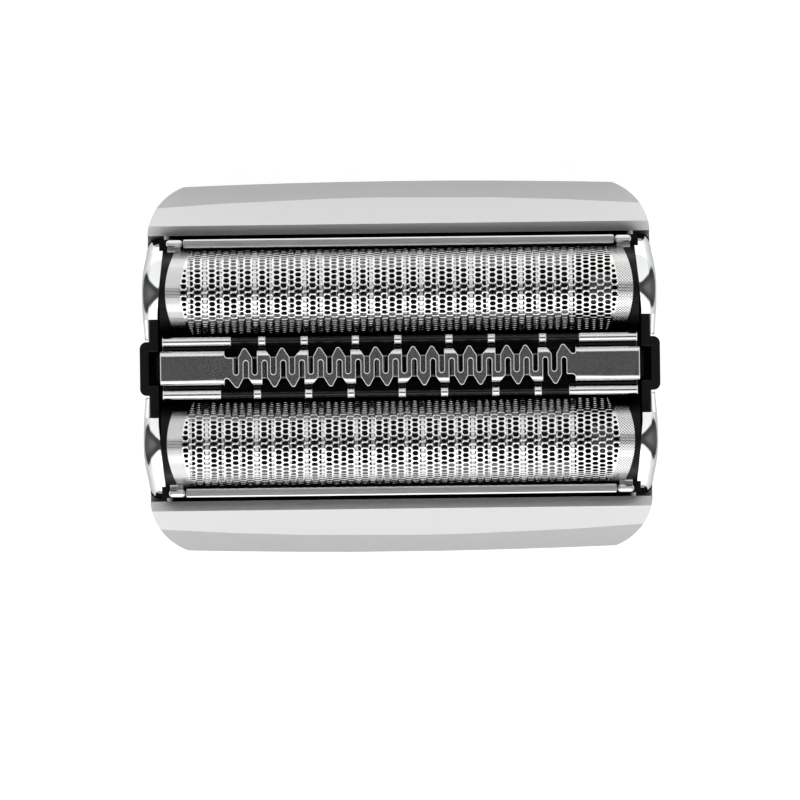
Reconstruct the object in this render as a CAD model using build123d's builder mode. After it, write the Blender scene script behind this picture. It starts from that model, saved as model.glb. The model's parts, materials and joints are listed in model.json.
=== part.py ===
from build123d import *
import os
from math import atan2, cos, degrees, radians, sin, tan

# Shaver foil head. Millimetres. X runs along the foils, +Y is the rear foil, +Z points up out of
# the foils, and the origin is under the middle of the housing, on the rim that it stands on.

os.makedirs("parts", exist_ok=True)

# Housing, the satin outer shell
HOUSING_LENGTH = 43.9
BASE_WIDTH = 32.55
BASE_BOW = 0.42
CORNER = 5.0
CREASE_Z = 8.6
CREASE_WIDTH = 29.6
LIP_Z = 15.2
LIP_EDGE = 0.85
LIP_DEPTH = 0.7
MOUTH_WIDTH = 23.2
WALL = 1.3
RIB_THICK = 2.4
RIB_HIGH = 1.2
RIB_GRIP = 1.0
RIB_X = (-15.0, -5.0, 5.0, 15.0)
LATCH_WINDOW = (6.0, 1.8)
LATCH_WINDOW_Z = 3.2

# Clearances and travels
FIT_GAP = 0.3
SLIDE_GAP = 0.1
FLOAT_TRAVEL = 1.8
STROKE = 3.4

# Chassis, the black moulding inside the housing
PLATE_Z = 6.0
PLATE_THICK = 1.2
CHASSIS_WALL = 1.0
FLANGE_THICK = 1.0
POST_OVERHANG = 0.75
POST_DROP = 2.6
POST_WIDTH = 4.7
POST_WALL = 0.8
POST_CORNER = 0.6
POCKET_WIDTH = 3.0
WING_WIDTH = 8.3
WEDGE_HIGH = 1.6
WEDGE_REACH = 0.9

# Foils and what follows their arch
FOIL_TOP = 21.0
FOIL_LEG_ANGLE = 72.0
FOIL_RISE_TO_REACH = 1.2267
FOIL_THICK = 0.1
FOIL_INSET = 0.5
FOIL_END_BOW = 0.95
FOIL_GRIP = (0.05, 0.15)
HOLE_ROWS = 7
HOLE_PITCH_X = 3.6
HOLE_PITCH_ARC = 1.45
HOLE_LENGTH = 2.2
HOLE_HEIGHT = 0.8
HOLE_BORDER = 1.2

# Foil frames, their clamp strips and end caps
FRAME_INSET = 1.05
FRAME_HIGH = 4.0
END_PLATE = 1.2
OUTER_RAIL_THICK = 1.05
INNER_RAIL_THICK = 0.5
CROSS_BAR = 1.0
CROSS_BAR_HIGH = 0.6
CATCH_LENGTH = 3.0
CATCH_THICK = 0.5
CATCH_REACH = 0.6
CATCH_HIGH = 0.7
STRIP_INSET = 0.3
STRIP_HIGH = 0.8
STRIP_SHORT = 0.6
STRIP_CHAMFER = 0.25
STRIP_SLOPE = 0.15
CAP_LIFT = 0.6
CAP_OVERHANG = 0.5
CAP_SKIN = 0.5
CAP_SET_BACK = 0.1
CAP_GAP = 0.15
CAP_CORNER = 1.5
CAP_BOW = 0.4
CAP_FALL = 1.2

# Cutter blocks under the foils
BLADE_PITCH = 1.45
BLADE_THICK = 0.3
BLADE_GAP = 0.08
BLADE_DEPTH = 0.95
BLADE_SIDES = 6
BLADE_HOLLOW = 0.9
BLADE_RAIL = 0.5
SPINE_WIDTH = 2.6
SPINE_OVERHANG = 0.5
SPINE_FLANGE = 0.8
SOCKET_RADIUS = 1.0
SOCKET_DEPTH = 3.0
DRIVE_BLOCK = (6.0, 4.0)
DRIVE_Z = 9.5

# Lifting comb of the trimmer, one folded and stamped sheet
SHEET = 0.15
BEND = 0.2
FOLD_RUN = 0.45
FOLD_LAP = 0.05
COMB_BELOW_FOILS = 0.7
COMB_WIDTH = 3.0
VALLEY_DEPTH = 1.6
BEAD_INNER = 1.92
BEAD_OUTER = 2.7
BEAD_DEPTH = 0.6
BEAD_FOOT_DEPTH = 2.3
BEAD_SHORT = 0.25
BEAD_LONG = 0.6
SLOTS = 36
SLOT_PITCH = 0.8125
SLOT_WIDTH = 0.42
SLOT_END = 0.8
ARM_END = 0.86
PLATE_START = 0.775
TIP_REACH = 1.79
TIP_FLAT = 0.24
TIP_LEAN = 0.08
SHOULDER_REACH = 1.2
LEG_WIDTH = 0.65
LEG_OFFSET = 0.18
LEG_TIPS = ((1, -1), (3, 1))
LEG_REPEAT = 5

# Trimmer holder, its moving blade and drive block
HOLDER_SHORT = 0.4
HOLDER_LIFT = 0.6
HOLDER_FLOOR = 1.0
HOLDER_DROP = 0.4
BEAD_PLAY = 0.01
RIDGE_ROUND = 0.2
CHANNEL_WIDTH = 2.7
CHANNEL_END = 2.0
TONGUE_ROOT = 1.0
TONGUE_REACH = 0.8
TONGUE_WIDTH = 2.4
TONGUE_HIGH = 4.0
BAR_WIDTH = 1.9
BAR_SHORT = 1.65
BAR_DEPTH = 3.1
TEETH = 13
TOOTH_GAP = 1.0
TOOTH_DEPTH = 1.45
DRIVE_FORK = (4.0, 2.4)
FORK_SLOT = (1.6, 2.0)

# Float springs, folded from strip
SPRING_THICK = 0.25
SPRING_BEND = 0.3
SPRING_WIDTH = 2.6
TRIMMER_SPRING_WIDTH = 1.8
SPRING_SEAT_GAP = 0.75
SPRING_FOOT = 2.2
SPRING_RUN = 5.0
SPRING_HEAD = 0.9
CATCH_BESIDE_SPRING = 3.6
WINDOW_OUTSIDE_HEAD = 0.4

# Places along the foils
HALF_LENGTH = HOUSING_LENGTH / 2
INNER_LENGTH = HOUSING_LENGTH - 2 * WALL
CHASSIS_X = INNER_LENGTH / 2 - FIT_GAP
CHASSIS_WALL_X = CHASSIS_X - CHASSIS_WALL
POST_OUT = HALF_LENGTH + POST_OVERHANG
WING_OUT = HALF_LENGTH - SLIDE_GAP
FRAME_END = HALF_LENGTH - FRAME_INSET
FRAME_BAY = FRAME_END + FIT_GAP / 2
CAP_OUT = HALF_LENGTH + CAP_OVERHANG
FOIL_LENGTH = 2 * (FRAME_END - FOIL_INSET)
STRIP_LENGTH = 2 * (FRAME_END - STRIP_SHORT)
COMB_LENGTH = 2 * FRAME_END
BEAD_LENGTH = COMB_LENGTH - 2 * BEAD_SHORT
HOLDER_LENGTH = 2 * (FRAME_END - HOLDER_SHORT)
SPRING_FOOT_OUT = CHASSIS_WALL_X - SPRING_SEAT_GAP
SPRING_FOOT_IN = SPRING_FOOT_OUT - SPRING_FOOT
SPRING_HEAD_X = SPRING_FOOT_OUT - SPRING_RUN
CATCH_X = SPRING_HEAD_X - CATCH_BESIDE_SPRING
WINDOW_LENGTH = 2 * (SPRING_HEAD_X + WINDOW_OUTSIDE_HEAD)
HOLE_COLUMNS = int((FOIL_LENGTH - 2 * HOLE_BORDER) / HOLE_PITCH_X)
BLADE_ROOM = 2 * (FRAME_END - END_PLATE - SPINE_OVERHANG - FIT_GAP) - STROKE
BLADES = int((BLADE_ROOM - BLADE_THICK) / BLADE_PITCH) + 1
BLADE_SPAN = (BLADES - 1) * BLADE_PITCH + BLADE_THICK
CUTTER_SHIFT = -STROKE / 2
PLATE_END_X = SLOTS * SLOT_PITCH / 2 + PLATE_START
BAR_LENGTH = SLOTS * SLOT_PITCH - BAR_SHORT
TOOTH_PITCH = (BAR_LENGTH + TOOTH_GAP) / TEETH

# Places across the foils
LIP_WIDTH = MOUTH_WIDTH + 2 * LIP_EDGE
CHASSIS_Y = MOUTH_WIDTH / 2 - FIT_GAP
CHASSIS_WALL_Y = CHASSIS_Y - CHASSIS_WALL
OUTER_RAIL = (CHASSIS_Y - SLIDE_GAP / 2 - OUTER_RAIL_THICK, CHASSIS_Y - SLIDE_GAP / 2)
INNER_RAIL = (BEAD_OUTER + SLIDE_GAP, BEAD_OUTER + SLIDE_GAP + INNER_RAIL_THICK)
FOIL_FEET = (INNER_RAIL[0] + FOIL_GRIP[0], OUTER_RAIL[0] + FOIL_GRIP[1])
FOIL_Y = (FOIL_FEET[0] + FOIL_FEET[1]) / 2
CAP_EDGE = OUTER_RAIL[1] + SLIDE_GAP
HOLDER_WIDTH = 2 * (BEAD_OUTER - SLIDE_GAP / 2)
RIDGE = (BEAD_INNER + SHEET + BEAD_PLAY, BEAD_OUTER - SHEET - BEAD_PLAY)

# Heights
FOIL_REACH = (FOIL_FEET[1] - FOIL_FEET[0]) / 2
FOIL_BASE_Z = FOIL_TOP - FOIL_REACH * FOIL_RISE_TO_REACH
FRAME_BASE_Z = FOIL_BASE_Z - FRAME_HIGH
POST_TOP = FOIL_TOP - POST_DROP
SEAT_Z = PLATE_Z + PLATE_THICK
FLANGE_TOP = FRAME_BASE_Z - FLOAT_TRAVEL - FIT_GAP
END_WALL_Z = FLANGE_TOP - FLANGE_THICK - SLIDE_GAP
CHASSIS_WALL_TOP = FLANGE_TOP - SLIDE_GAP
CATCH_BASE_Z = PLATE_Z + FLOAT_TRAVEL + FIT_GAP
CAP_BASE_Z = FRAME_BASE_Z + CAP_LIFT
HOLDER_BASE_Z = FRAME_BASE_Z + HOLDER_LIFT
BLADE_FOOT_Z = FOIL_BASE_Z + FIT_GAP * 2
SPINE_BASE_Z = FRAME_BASE_Z + CROSS_BAR_HIGH + SLIDE_GAP
COMB_TOP = FOIL_TOP - COMB_BELOW_FOILS
VALLEY_Z = COMB_TOP - VALLEY_DEPTH
BEAD_TOP = COMB_TOP - BEAD_DEPTH
BEAD_FOOT = COMB_TOP - BEAD_FOOT_DEPTH
HOLDER_TOP_Z = BEAD_FOOT - HOLDER_DROP
RIDGE_TOP = BEAD_TOP - SHEET - SLIDE_GAP
BAR_TOP = COMB_TOP - SHEET - SLIDE_GAP
BAR_FOOT = COMB_TOP - BAR_DEPTH
TOOTH_ROOT = BAR_TOP - TOOTH_DEPTH

# The foil's arch: a round crown with straight legs that reach the frame's rails
LEG = radians(FOIL_LEG_ANGLE)
FOIL_RADIUS = (FOIL_REACH - (FOIL_TOP - FOIL_BASE_Z) / tan(LEG)) / (
    sin(LEG) - (1 - cos(LEG)) / tan(LEG)
)
ARCH_CENTRE_Z = FOIL_TOP - FOIL_RADIUS


def save(part, name):
    """Labels one finished piece and writes it as its own file."""
    part.label = name
    export_step(part, f"parts/{name}.step")


def save_pair(part, name):
    """Writes a rear piece and its mirror image for the front unit."""
    save(part, f"rear_{name}")
    save(mirror(part, about=Plane.XZ), f"front_{name}")


def bowed_outline(length):
    """Draws the housing's footprint at any length, with the same bow along its long sides."""
    x, y = length / 2, BASE_WIDTH / 2
    y_end = y - BASE_BOW * (length / HOUSING_LENGTH) ** 2
    with BuildLine() as outline:
        Line((x, -y_end), (x, y_end))
        ThreePointArc((x, y_end), (0, y), (-x, y_end))
        Line((-x, y_end), (-x, -y_end))
        ThreePointArc((-x, -y_end), (0, -y), (x, -y_end))
    return make_face(outline.edges())


def arch_foot(inset, base_z):
    """Gives how far a leg of the arch stands from its middle at a height."""
    radius = FOIL_RADIUS - inset
    tangent_z = ARCH_CENTRE_Z + radius * cos(LEG)
    return radius * sin(LEG) + (tangent_z - base_z) / tan(LEG)


def arch_section(inset, base_z, mode=Mode.ADD):
    """Draws the region under the foil's arch, moved inwards by an inset, in the YZ plane."""
    radius = FOIL_RADIUS - inset
    tangent = radius * sin(LEG)
    tangent_z = ARCH_CENTRE_Z + radius * cos(LEG)
    foot = arch_foot(inset, base_z)
    with BuildLine() as arch:
        Line((FOIL_Y - foot, base_z), (FOIL_Y - tangent, tangent_z))
        ThreePointArc(
            (FOIL_Y - tangent, tangent_z),
            (FOIL_Y, ARCH_CENTRE_Z + radius),
            (FOIL_Y + tangent, tangent_z),
        )
        Line((FOIL_Y + tangent, tangent_z), (FOIL_Y + foot, base_z))
        Line((FOIL_Y + foot, base_z), (FOIL_Y - foot, base_z))
    make_face(arch.edges(), mode=mode)


def block(x, y, z, mode=Mode.ADD):
    """Adds a block between two limits along each axis."""
    centre = ((x[0] + x[1]) / 2, (y[0] + y[1]) / 2, (z[0] + z[1]) / 2)
    with Locations(centre):
        Box(x[1] - x[0], y[1] - y[0], z[1] - z[0], mode=mode)


def limits(end, near, far):
    """Gives a pair of limits on the left or right, in rising order."""
    return sorted((end * near, end * far))


def bent_path(points, corner_cut):
    """Gives the middle line of a folded strip, with a short bend at each inner corner."""
    path = [Vector(*points[0])]
    for before, corner, after in zip(points, points[1:], points[2:]):
        for neighbour in (before, after):
            way = (Vector(*neighbour) - Vector(*corner)).normalized()
            path.append(Vector(*corner) + way * corner_cut)
    path.append(Vector(*points[-1]))
    return path


# Housing: flanks that lean inwards and bow, cut by a steeper plane above the crease
flank_lean = (BASE_WIDTH - CREASE_WIDTH) / 2 / CREASE_Z
upper_lean = (CREASE_WIDTH - LIP_WIDTH) / 2 / (LIP_Z - CREASE_Z)
upper_foot = LIP_WIDTH / 2 + upper_lean * LIP_Z
inner_base = BASE_WIDTH / 2 - BASE_BOW - WALL
inner_crease = CREASE_WIDTH / 2 - BASE_BOW - WALL
mouth_z = LIP_Z - LIP_DEPTH
with BuildPart() as core:
    with BuildSketch(Plane.XY):
        RectangleRounded(INNER_LENGTH, 2 * inner_base, CORNER - WALL)
    extrude(amount=mouth_z)
    with BuildSketch(Plane.YZ.offset(-INNER_LENGTH / 2)):
        Polygon(
            (-inner_base, 0),
            (inner_base, 0),
            (inner_crease, CREASE_Z),
            (MOUTH_WIDTH / 2, mouth_z),
            (-MOUTH_WIDTH / 2, mouth_z),
            (-inner_crease, CREASE_Z),
            align=None,
        )
    extrude(amount=INNER_LENGTH, mode=Mode.INTERSECT)

with BuildPart() as housing:
    with BuildSketch(Plane.XY):
        bowed_outline(HOUSING_LENGTH + 2 * LIP_Z)
    extrude(amount=LIP_Z, taper=degrees(atan2(flank_lean, 1)))
    with BuildSketch(Plane.XY):
        RectangleRounded(HOUSING_LENGTH, BASE_WIDTH + SLIDE_GAP, CORNER)
    extrude(amount=LIP_Z, mode=Mode.INTERSECT)
    with BuildSketch(Plane.YZ.offset(-HALF_LENGTH)):
        Polygon(
            (-upper_foot, 0),
            (upper_foot, 0),
            (LIP_WIDTH / 2, LIP_Z),
            (MOUTH_WIDTH / 2, mouth_z),
            (-MOUTH_WIDTH / 2, mouth_z),
            (-LIP_WIDTH / 2, LIP_Z),
            align=None,
        )
    extrude(amount=HOUSING_LENGTH, mode=Mode.INTERSECT)
    add(core.part, mode=Mode.SUBTRACT)
    # The end walls stop low, so that the caps of the foil units can sink over them.
    for end in (-1, 1):
        end_x = limits(end, INNER_LENGTH / 2 - WALL, HALF_LENGTH)
        block(end_x, (-MOUTH_WIDTH / 2, MOUTH_WIDTH / 2), (END_WALL_Z, LIP_Z), Mode.SUBTRACT)
    # Ribs inside the long walls carry the chassis.
    rib_back = inner_base - (inner_base - inner_crease) * PLATE_Z / CREASE_Z + WALL / 2
    for side in (-1, 1):
        for x in RIB_X:
            rib_x = (x - RIB_THICK / 2, x + RIB_THICK / 2)
            rib_y = limits(side, CHASSIS_Y - RIB_GRIP, rib_back)
            block(rib_x, rib_y, (PLATE_Z - RIB_HIGH, PLATE_Z))
    with Locations((0, 0, LATCH_WINDOW_Z)):
        Box(HOUSING_LENGTH, LATCH_WINDOW[0], LATCH_WINDOW[1], mode=Mode.SUBTRACT)
save(housing.part, "housing")

# Chassis
pocket_floor = HOLDER_BASE_Z - FLOAT_TRAVEL - FIT_GAP
with BuildPart() as chassis:
    block((-CHASSIS_X, CHASSIS_X), (-CHASSIS_Y, CHASSIS_Y), (PLATE_Z, CHASSIS_WALL_TOP))
    inner_x = (-CHASSIS_WALL_X, CHASSIS_WALL_X)
    inner_y = (-CHASSIS_WALL_Y, CHASSIS_WALL_Y)
    block(inner_x, inner_y, (SEAT_Z, CHASSIS_WALL_TOP), Mode.SUBTRACT)
    window_x = (-WINDOW_LENGTH / 2, WINDOW_LENGTH / 2)
    block(window_x, inner_y, (PLATE_Z, SEAT_Z), Mode.SUBTRACT)
    for end in (-1, 1):
        # A flange lies on the housing's end wall, and its outer edge stands up under the caps.
        flange_y = (-CHASSIS_Y, CHASSIS_Y)
        block(limits(end, CHASSIS_WALL_X, HALF_LENGTH), flange_y, (END_WALL_Z, FLANGE_TOP))
        edge_top = CAP_BASE_Z - FLOAT_TRAVEL - FIT_GAP
        block(limits(end, FRAME_BAY, HALF_LENGTH), flange_y, (END_WALL_Z, edge_top))
        # The post guides the trimmer, and its wings close the gap between the foil units.
        with BuildSketch(Plane.XY.offset(END_WALL_Z)):
            with Locations((end * (POST_OUT + FRAME_BAY) / 2, 0)):
                post = Rectangle(POST_OUT - FRAME_BAY, POST_WIDTH)
            fillet(post.vertices().group_by(Axis.X)[-1 if end > 0 else 0], POST_CORNER)
            with Locations((end * (WING_OUT + FRAME_BAY) / 2, 0)):
                Rectangle(WING_OUT - FRAME_BAY, WING_WIDTH)
        extrude(amount=POST_TOP - END_WALL_Z)
        pocket_x = limits(end, FRAME_BAY, POST_OUT - POST_WALL)
        pocket_y = (-POCKET_WIDTH / 2, POCKET_WIDTH / 2)
        block(pocket_x, pocket_y, (pocket_floor, POST_TOP), Mode.SUBTRACT)
    # Catches of the foil frames run in slots through the long walls, and wedges snap in.
    for side in (-1, 1):
        for x in (-CATCH_X, CATCH_X):
            slot_x = (x - CATCH_LENGTH / 2 - FIT_GAP, x + CATCH_LENGTH / 2 + FIT_GAP)
            slot_top = CATCH_BASE_Z + CATCH_HIGH + SLIDE_GAP
            block(slot_x, limits(side, CHASSIS_WALL_Y, CHASSIS_Y), (PLATE_Z, slot_top), Mode.SUBTRACT)
    for x in RIB_X:
        with BuildSketch(Plane.YZ.offset(x - RIB_THICK / 2)):
            for side in (-1, 1):
                Polygon(
                    (side * CHASSIS_WALL_Y, CHASSIS_WALL_TOP - WEDGE_HIGH),
                    (side * CHASSIS_Y, CHASSIS_WALL_TOP - WEDGE_HIGH),
                    (side * (CHASSIS_Y + WEDGE_REACH), CHASSIS_WALL_TOP - SLIDE_GAP),
                    (side * (CHASSIS_Y + WEDGE_REACH), CHASSIS_WALL_TOP),
                    (side * CHASSIS_WALL_Y, CHASSIS_WALL_TOP),
                    align=None,
                )
        extrude(amount=RIB_THICK)
save(chassis.part, "chassis")

# Foil, rear unit
with BuildPart() as foil:
    with BuildSketch(Plane.YZ.offset(-FOIL_LENGTH / 2)):
        arch_section(0, FOIL_BASE_Z)
        arch_section(FOIL_THICK, FOIL_BASE_Z, Mode.SUBTRACT)
    extrude(amount=FOIL_LENGTH)
    # The sheet's ends bow outwards over the crown.
    half = FOIL_LENGTH / 2
    reach = arch_foot(0, FOIL_BASE_Z)
    with BuildSketch(Plane.XY):
        with BuildLine():
            ThreePointArc(
                (half - FOIL_END_BOW, FOIL_Y - reach),
                (half, FOIL_Y),
                (half - FOIL_END_BOW, FOIL_Y + reach),
            )
            Line((half - FOIL_END_BOW, FOIL_Y + reach), (-half + FOIL_END_BOW, FOIL_Y + reach))
            ThreePointArc(
                (-half + FOIL_END_BOW, FOIL_Y + reach),
                (-half, FOIL_Y),
                (-half + FOIL_END_BOW, FOIL_Y - reach),
            )
            Line((-half + FOIL_END_BOW, FOIL_Y - reach), (half - FOIL_END_BOW, FOIL_Y - reach))
        make_face()
    extrude(amount=FOIL_TOP + 1, mode=Mode.INTERSECT)
    # Staggered slots stand for the far finer holes of the sheet, with the same open share.
    for row in range(HOLE_ROWS):
        along = (row - (HOLE_ROWS - 1) / 2) * HOLE_PITCH_ARC
        angle = max(-LEG, min(LEG, along / FOIL_RADIUS))
        past = along - angle * FOIL_RADIUS
        normal = Vector(0, sin(angle), cos(angle))
        down = Vector(0, cos(angle), -sin(angle))
        middle = Vector(0, FOIL_Y, ARCH_CENTRE_Z) + normal * FOIL_RADIUS + down * past
        stagger = HOLE_PITCH_X / 4 if row % 2 else -HOLE_PITCH_X / 4
        with BuildSketch(Plane(middle, x_dir=(1, 0, 0), z_dir=normal)):
            with Locations((stagger, 0)):
                with GridLocations(HOLE_PITCH_X, 1, HOLE_COLUMNS, 1):
                    Rectangle(HOLE_LENGTH, HOLE_HEIGHT)
        extrude(amount=FOIL_THICK * 3, both=True, mode=Mode.SUBTRACT)
save_pair(foil.part, "foil")

# Foil frame, rear unit
with BuildPart() as frame:
    for end in (-1, 1):
        x_limits = limits(end, FRAME_END - END_PLATE, FRAME_END)
        with BuildSketch(Plane.YZ.offset(x_limits[0])):
            arch_section(FOIL_THICK, FOIL_BASE_Z)
        extrude(amount=END_PLATE)
        block(x_limits, (INNER_RAIL[0], OUTER_RAIL[1]), (FRAME_BASE_Z, FOIL_BASE_Z))
    for rail in (INNER_RAIL, OUTER_RAIL):
        block((-FRAME_END, FRAME_END), rail, (FRAME_BASE_Z, FOIL_BASE_Z))
    # Cross bars carry the cutter block and take the float springs.
    for x in (-SPRING_HEAD_X, SPRING_HEAD_X):
        block(
            (x - CROSS_BAR / 2, x + CROSS_BAR / 2),
            (INNER_RAIL[1], OUTER_RAIL[0]),
            (FRAME_BASE_Z, FRAME_BASE_Z + CROSS_BAR_HIGH),
        )
    # Catches reach down along the chassis wall and out into its slots.
    for x in (-CATCH_X, CATCH_X):
        catch_x = (x - CATCH_LENGTH / 2, x + CATCH_LENGTH / 2)
        catch_y = (OUTER_RAIL[0] - CATCH_THICK, OUTER_RAIL[0])
        hook_y = (catch_y[0], OUTER_RAIL[0] + CATCH_REACH)
        block(catch_x, catch_y, (CATCH_BASE_Z, FOIL_BASE_Z))
        block(catch_x, hook_y, (CATCH_BASE_Z, CATCH_BASE_Z + CATCH_HIGH))
save_pair(frame.part, "foil_frame")

# Clamp strip along the outer edge of the rear foil
with BuildPart() as strip:
    with BuildSketch(Plane.YZ.offset(-STRIP_LENGTH / 2)):
        Polygon(
            (OUTER_RAIL[0] + STRIP_INSET, FOIL_BASE_Z),
            (OUTER_RAIL[1], FOIL_BASE_Z),
            (OUTER_RAIL[1], FOIL_BASE_Z + STRIP_HIGH - STRIP_CHAMFER),
            (OUTER_RAIL[1] - STRIP_CHAMFER, FOIL_BASE_Z + STRIP_HIGH),
            (OUTER_RAIL[0] + STRIP_INSET, FOIL_BASE_Z + STRIP_HIGH - STRIP_SLOPE),
            align=None,
        )
    extrude(amount=STRIP_LENGTH)
save_pair(strip.part, "clamp_strip")

# End caps, rear unit
wing_side = WING_WIDTH / 2 + CAP_GAP
post_side = POST_WIDTH / 2 + CAP_GAP
cap_inside = CAP_OUT - CAP_SKIN
cap_flank = CAP_OUT - CAP_BOW
bend_x = FRAME_END + (cap_flank - FRAME_END) * sin(radians(45))
bend_y = CAP_EDGE - CAP_CORNER * (1 - cos(radians(45)))
with BuildPart() as cap:
    # The arch runs on outwards and falls away in a dome.
    for share in (0, 0.5, 1):
        with BuildSketch(Plane.YZ.offset(FRAME_END + share * (CAP_OUT - FRAME_END))):
            arch_section(CAP_SET_BACK + CAP_FALL * share**2, CAP_BASE_Z)
    loft(ruled=True)
    with BuildSketch(Plane.XY.offset(CAP_BASE_Z)):
        with BuildLine():
            Line((FRAME_END, wing_side), (FRAME_END, CAP_EDGE))
            flank_top = (cap_flank, CAP_EDGE - CAP_CORNER)
            flank_foot = (CAP_OUT - CAP_BOW / 2, post_side)
            ThreePointArc((FRAME_END, CAP_EDGE), (bend_x, bend_y), flank_top)
            ThreePointArc(flank_top, (CAP_OUT, FOIL_Y), flank_foot)
            Line(flank_foot, (cap_inside, post_side))
            Line((cap_inside, post_side), (cap_inside, wing_side))
            Line((cap_inside, wing_side), (FRAME_END, wing_side))
        make_face()
    extrude(amount=FOIL_TOP - CAP_BASE_Z, mode=Mode.INTERSECT)
save_pair(cap.part, "right_cap")
save_pair(mirror(cap.part, about=Plane.YZ), "left_cap")

# Cutter block, rear unit: arched blades on two rails, and the spine that drives them
blades_start = CUTTER_SHIFT - BLADE_SPAN / 2
blades_x = (blades_start, blades_start + BLADE_SPAN)
blade_radius = FOIL_RADIUS - FOIL_THICK - BLADE_GAP
blade_inside = blade_radius - BLADE_DEPTH
rim = [
    (
        FOIL_Y + blade_radius * cos(radians(180 * step / BLADE_SIDES)),
        ARCH_CENTRE_Z + blade_radius * sin(radians(180 * step / BLADE_SIDES)),
    )
    for step in range(BLADE_SIDES + 1)
]
with BuildPart() as blades:
    for index in range(BLADES):
        with BuildSketch(Plane.YZ.offset(blades_start + index * BLADE_PITCH)):
            Polygon(
                (FOIL_Y + blade_radius, BLADE_FOOT_Z),
                *rim,
                (FOIL_Y - blade_radius, BLADE_FOOT_Z),
                (FOIL_Y - blade_inside, BLADE_FOOT_Z),
                (FOIL_Y - blade_inside / 2, ARCH_CENTRE_Z + blade_inside * BLADE_HOLLOW),
                (FOIL_Y + blade_inside / 2, ARCH_CENTRE_Z + blade_inside * BLADE_HOLLOW),
                (FOIL_Y + blade_inside, BLADE_FOOT_Z),
                align=None,
            )
        extrude(amount=BLADE_THICK)
    for side in (-1, 1):
        rail_y = sorted((FOIL_Y + side * blade_inside, FOIL_Y + side * blade_radius))
        block(blades_x, rail_y, (BLADE_FOOT_Z - BLADE_RAIL, BLADE_FOOT_Z))
save_pair(blades.part, "blades")

spine_x = (blades_x[0] - SPINE_OVERHANG, blades_x[1] + SPINE_OVERHANG)
flange_z = BLADE_FOOT_Z - BLADE_RAIL
with BuildPart() as spine:
    block(
        spine_x,
        (FOIL_Y - blade_radius, FOIL_Y + blade_radius),
        (flange_z - SPINE_FLANGE, flange_z),
    )
    block(
        spine_x,
        (FOIL_Y - SPINE_WIDTH / 2, FOIL_Y + SPINE_WIDTH / 2),
        (SPINE_BASE_Z, flange_z),
    )
    with Locations((CUTTER_SHIFT, FOIL_Y, (DRIVE_Z + SPINE_BASE_Z) / 2)):
        Box(DRIVE_BLOCK[0], DRIVE_BLOCK[1], SPINE_BASE_Z - DRIVE_Z)
    with Locations(Plane((CUTTER_SHIFT, FOIL_Y, DRIVE_Z), z_dir=(0, 0, -1))):
        Hole(SOCKET_RADIUS, depth=SOCKET_DEPTH)
save_pair(spine.part, "cutter_spine")


# Lifting comb
def tip_x(index):
    """Gives where a tip on the rear side of the comb stands."""
    return (2 * index + 1 - (SLOTS - 1) / 2) * SLOT_PITCH


def leg_side(index):
    """Gives -1 or 1 for a tip that is folded down into a leg, and 0 for a pointed one."""
    for place, side in LEG_TIPS:
        if index % LEG_REPEAT == place:
            return side
    return 0


def fold_line(start):
    """Draws the middle of the folded sheet from the comb's top or its valley to the bead's foot."""
    middle = SHEET / 2
    wall_y = COMB_WIDTH / 2 - middle
    points = [
        (wall_y - FOLD_RUN, COMB_TOP - middle),
        (wall_y, COMB_TOP - middle),
        (wall_y, VALLEY_Z),
        (BEAD_INNER + middle, VALLEY_Z),
        (BEAD_INNER + middle, BEAD_TOP - middle),
        (BEAD_OUTER - middle, BEAD_TOP - middle),
        (BEAD_OUTER - middle, BEAD_FOOT),
    ]
    with BuildLine() as line:
        Polyline(*bent_path(points[start:], BEND))
    trace(line.line, SHEET)


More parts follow.
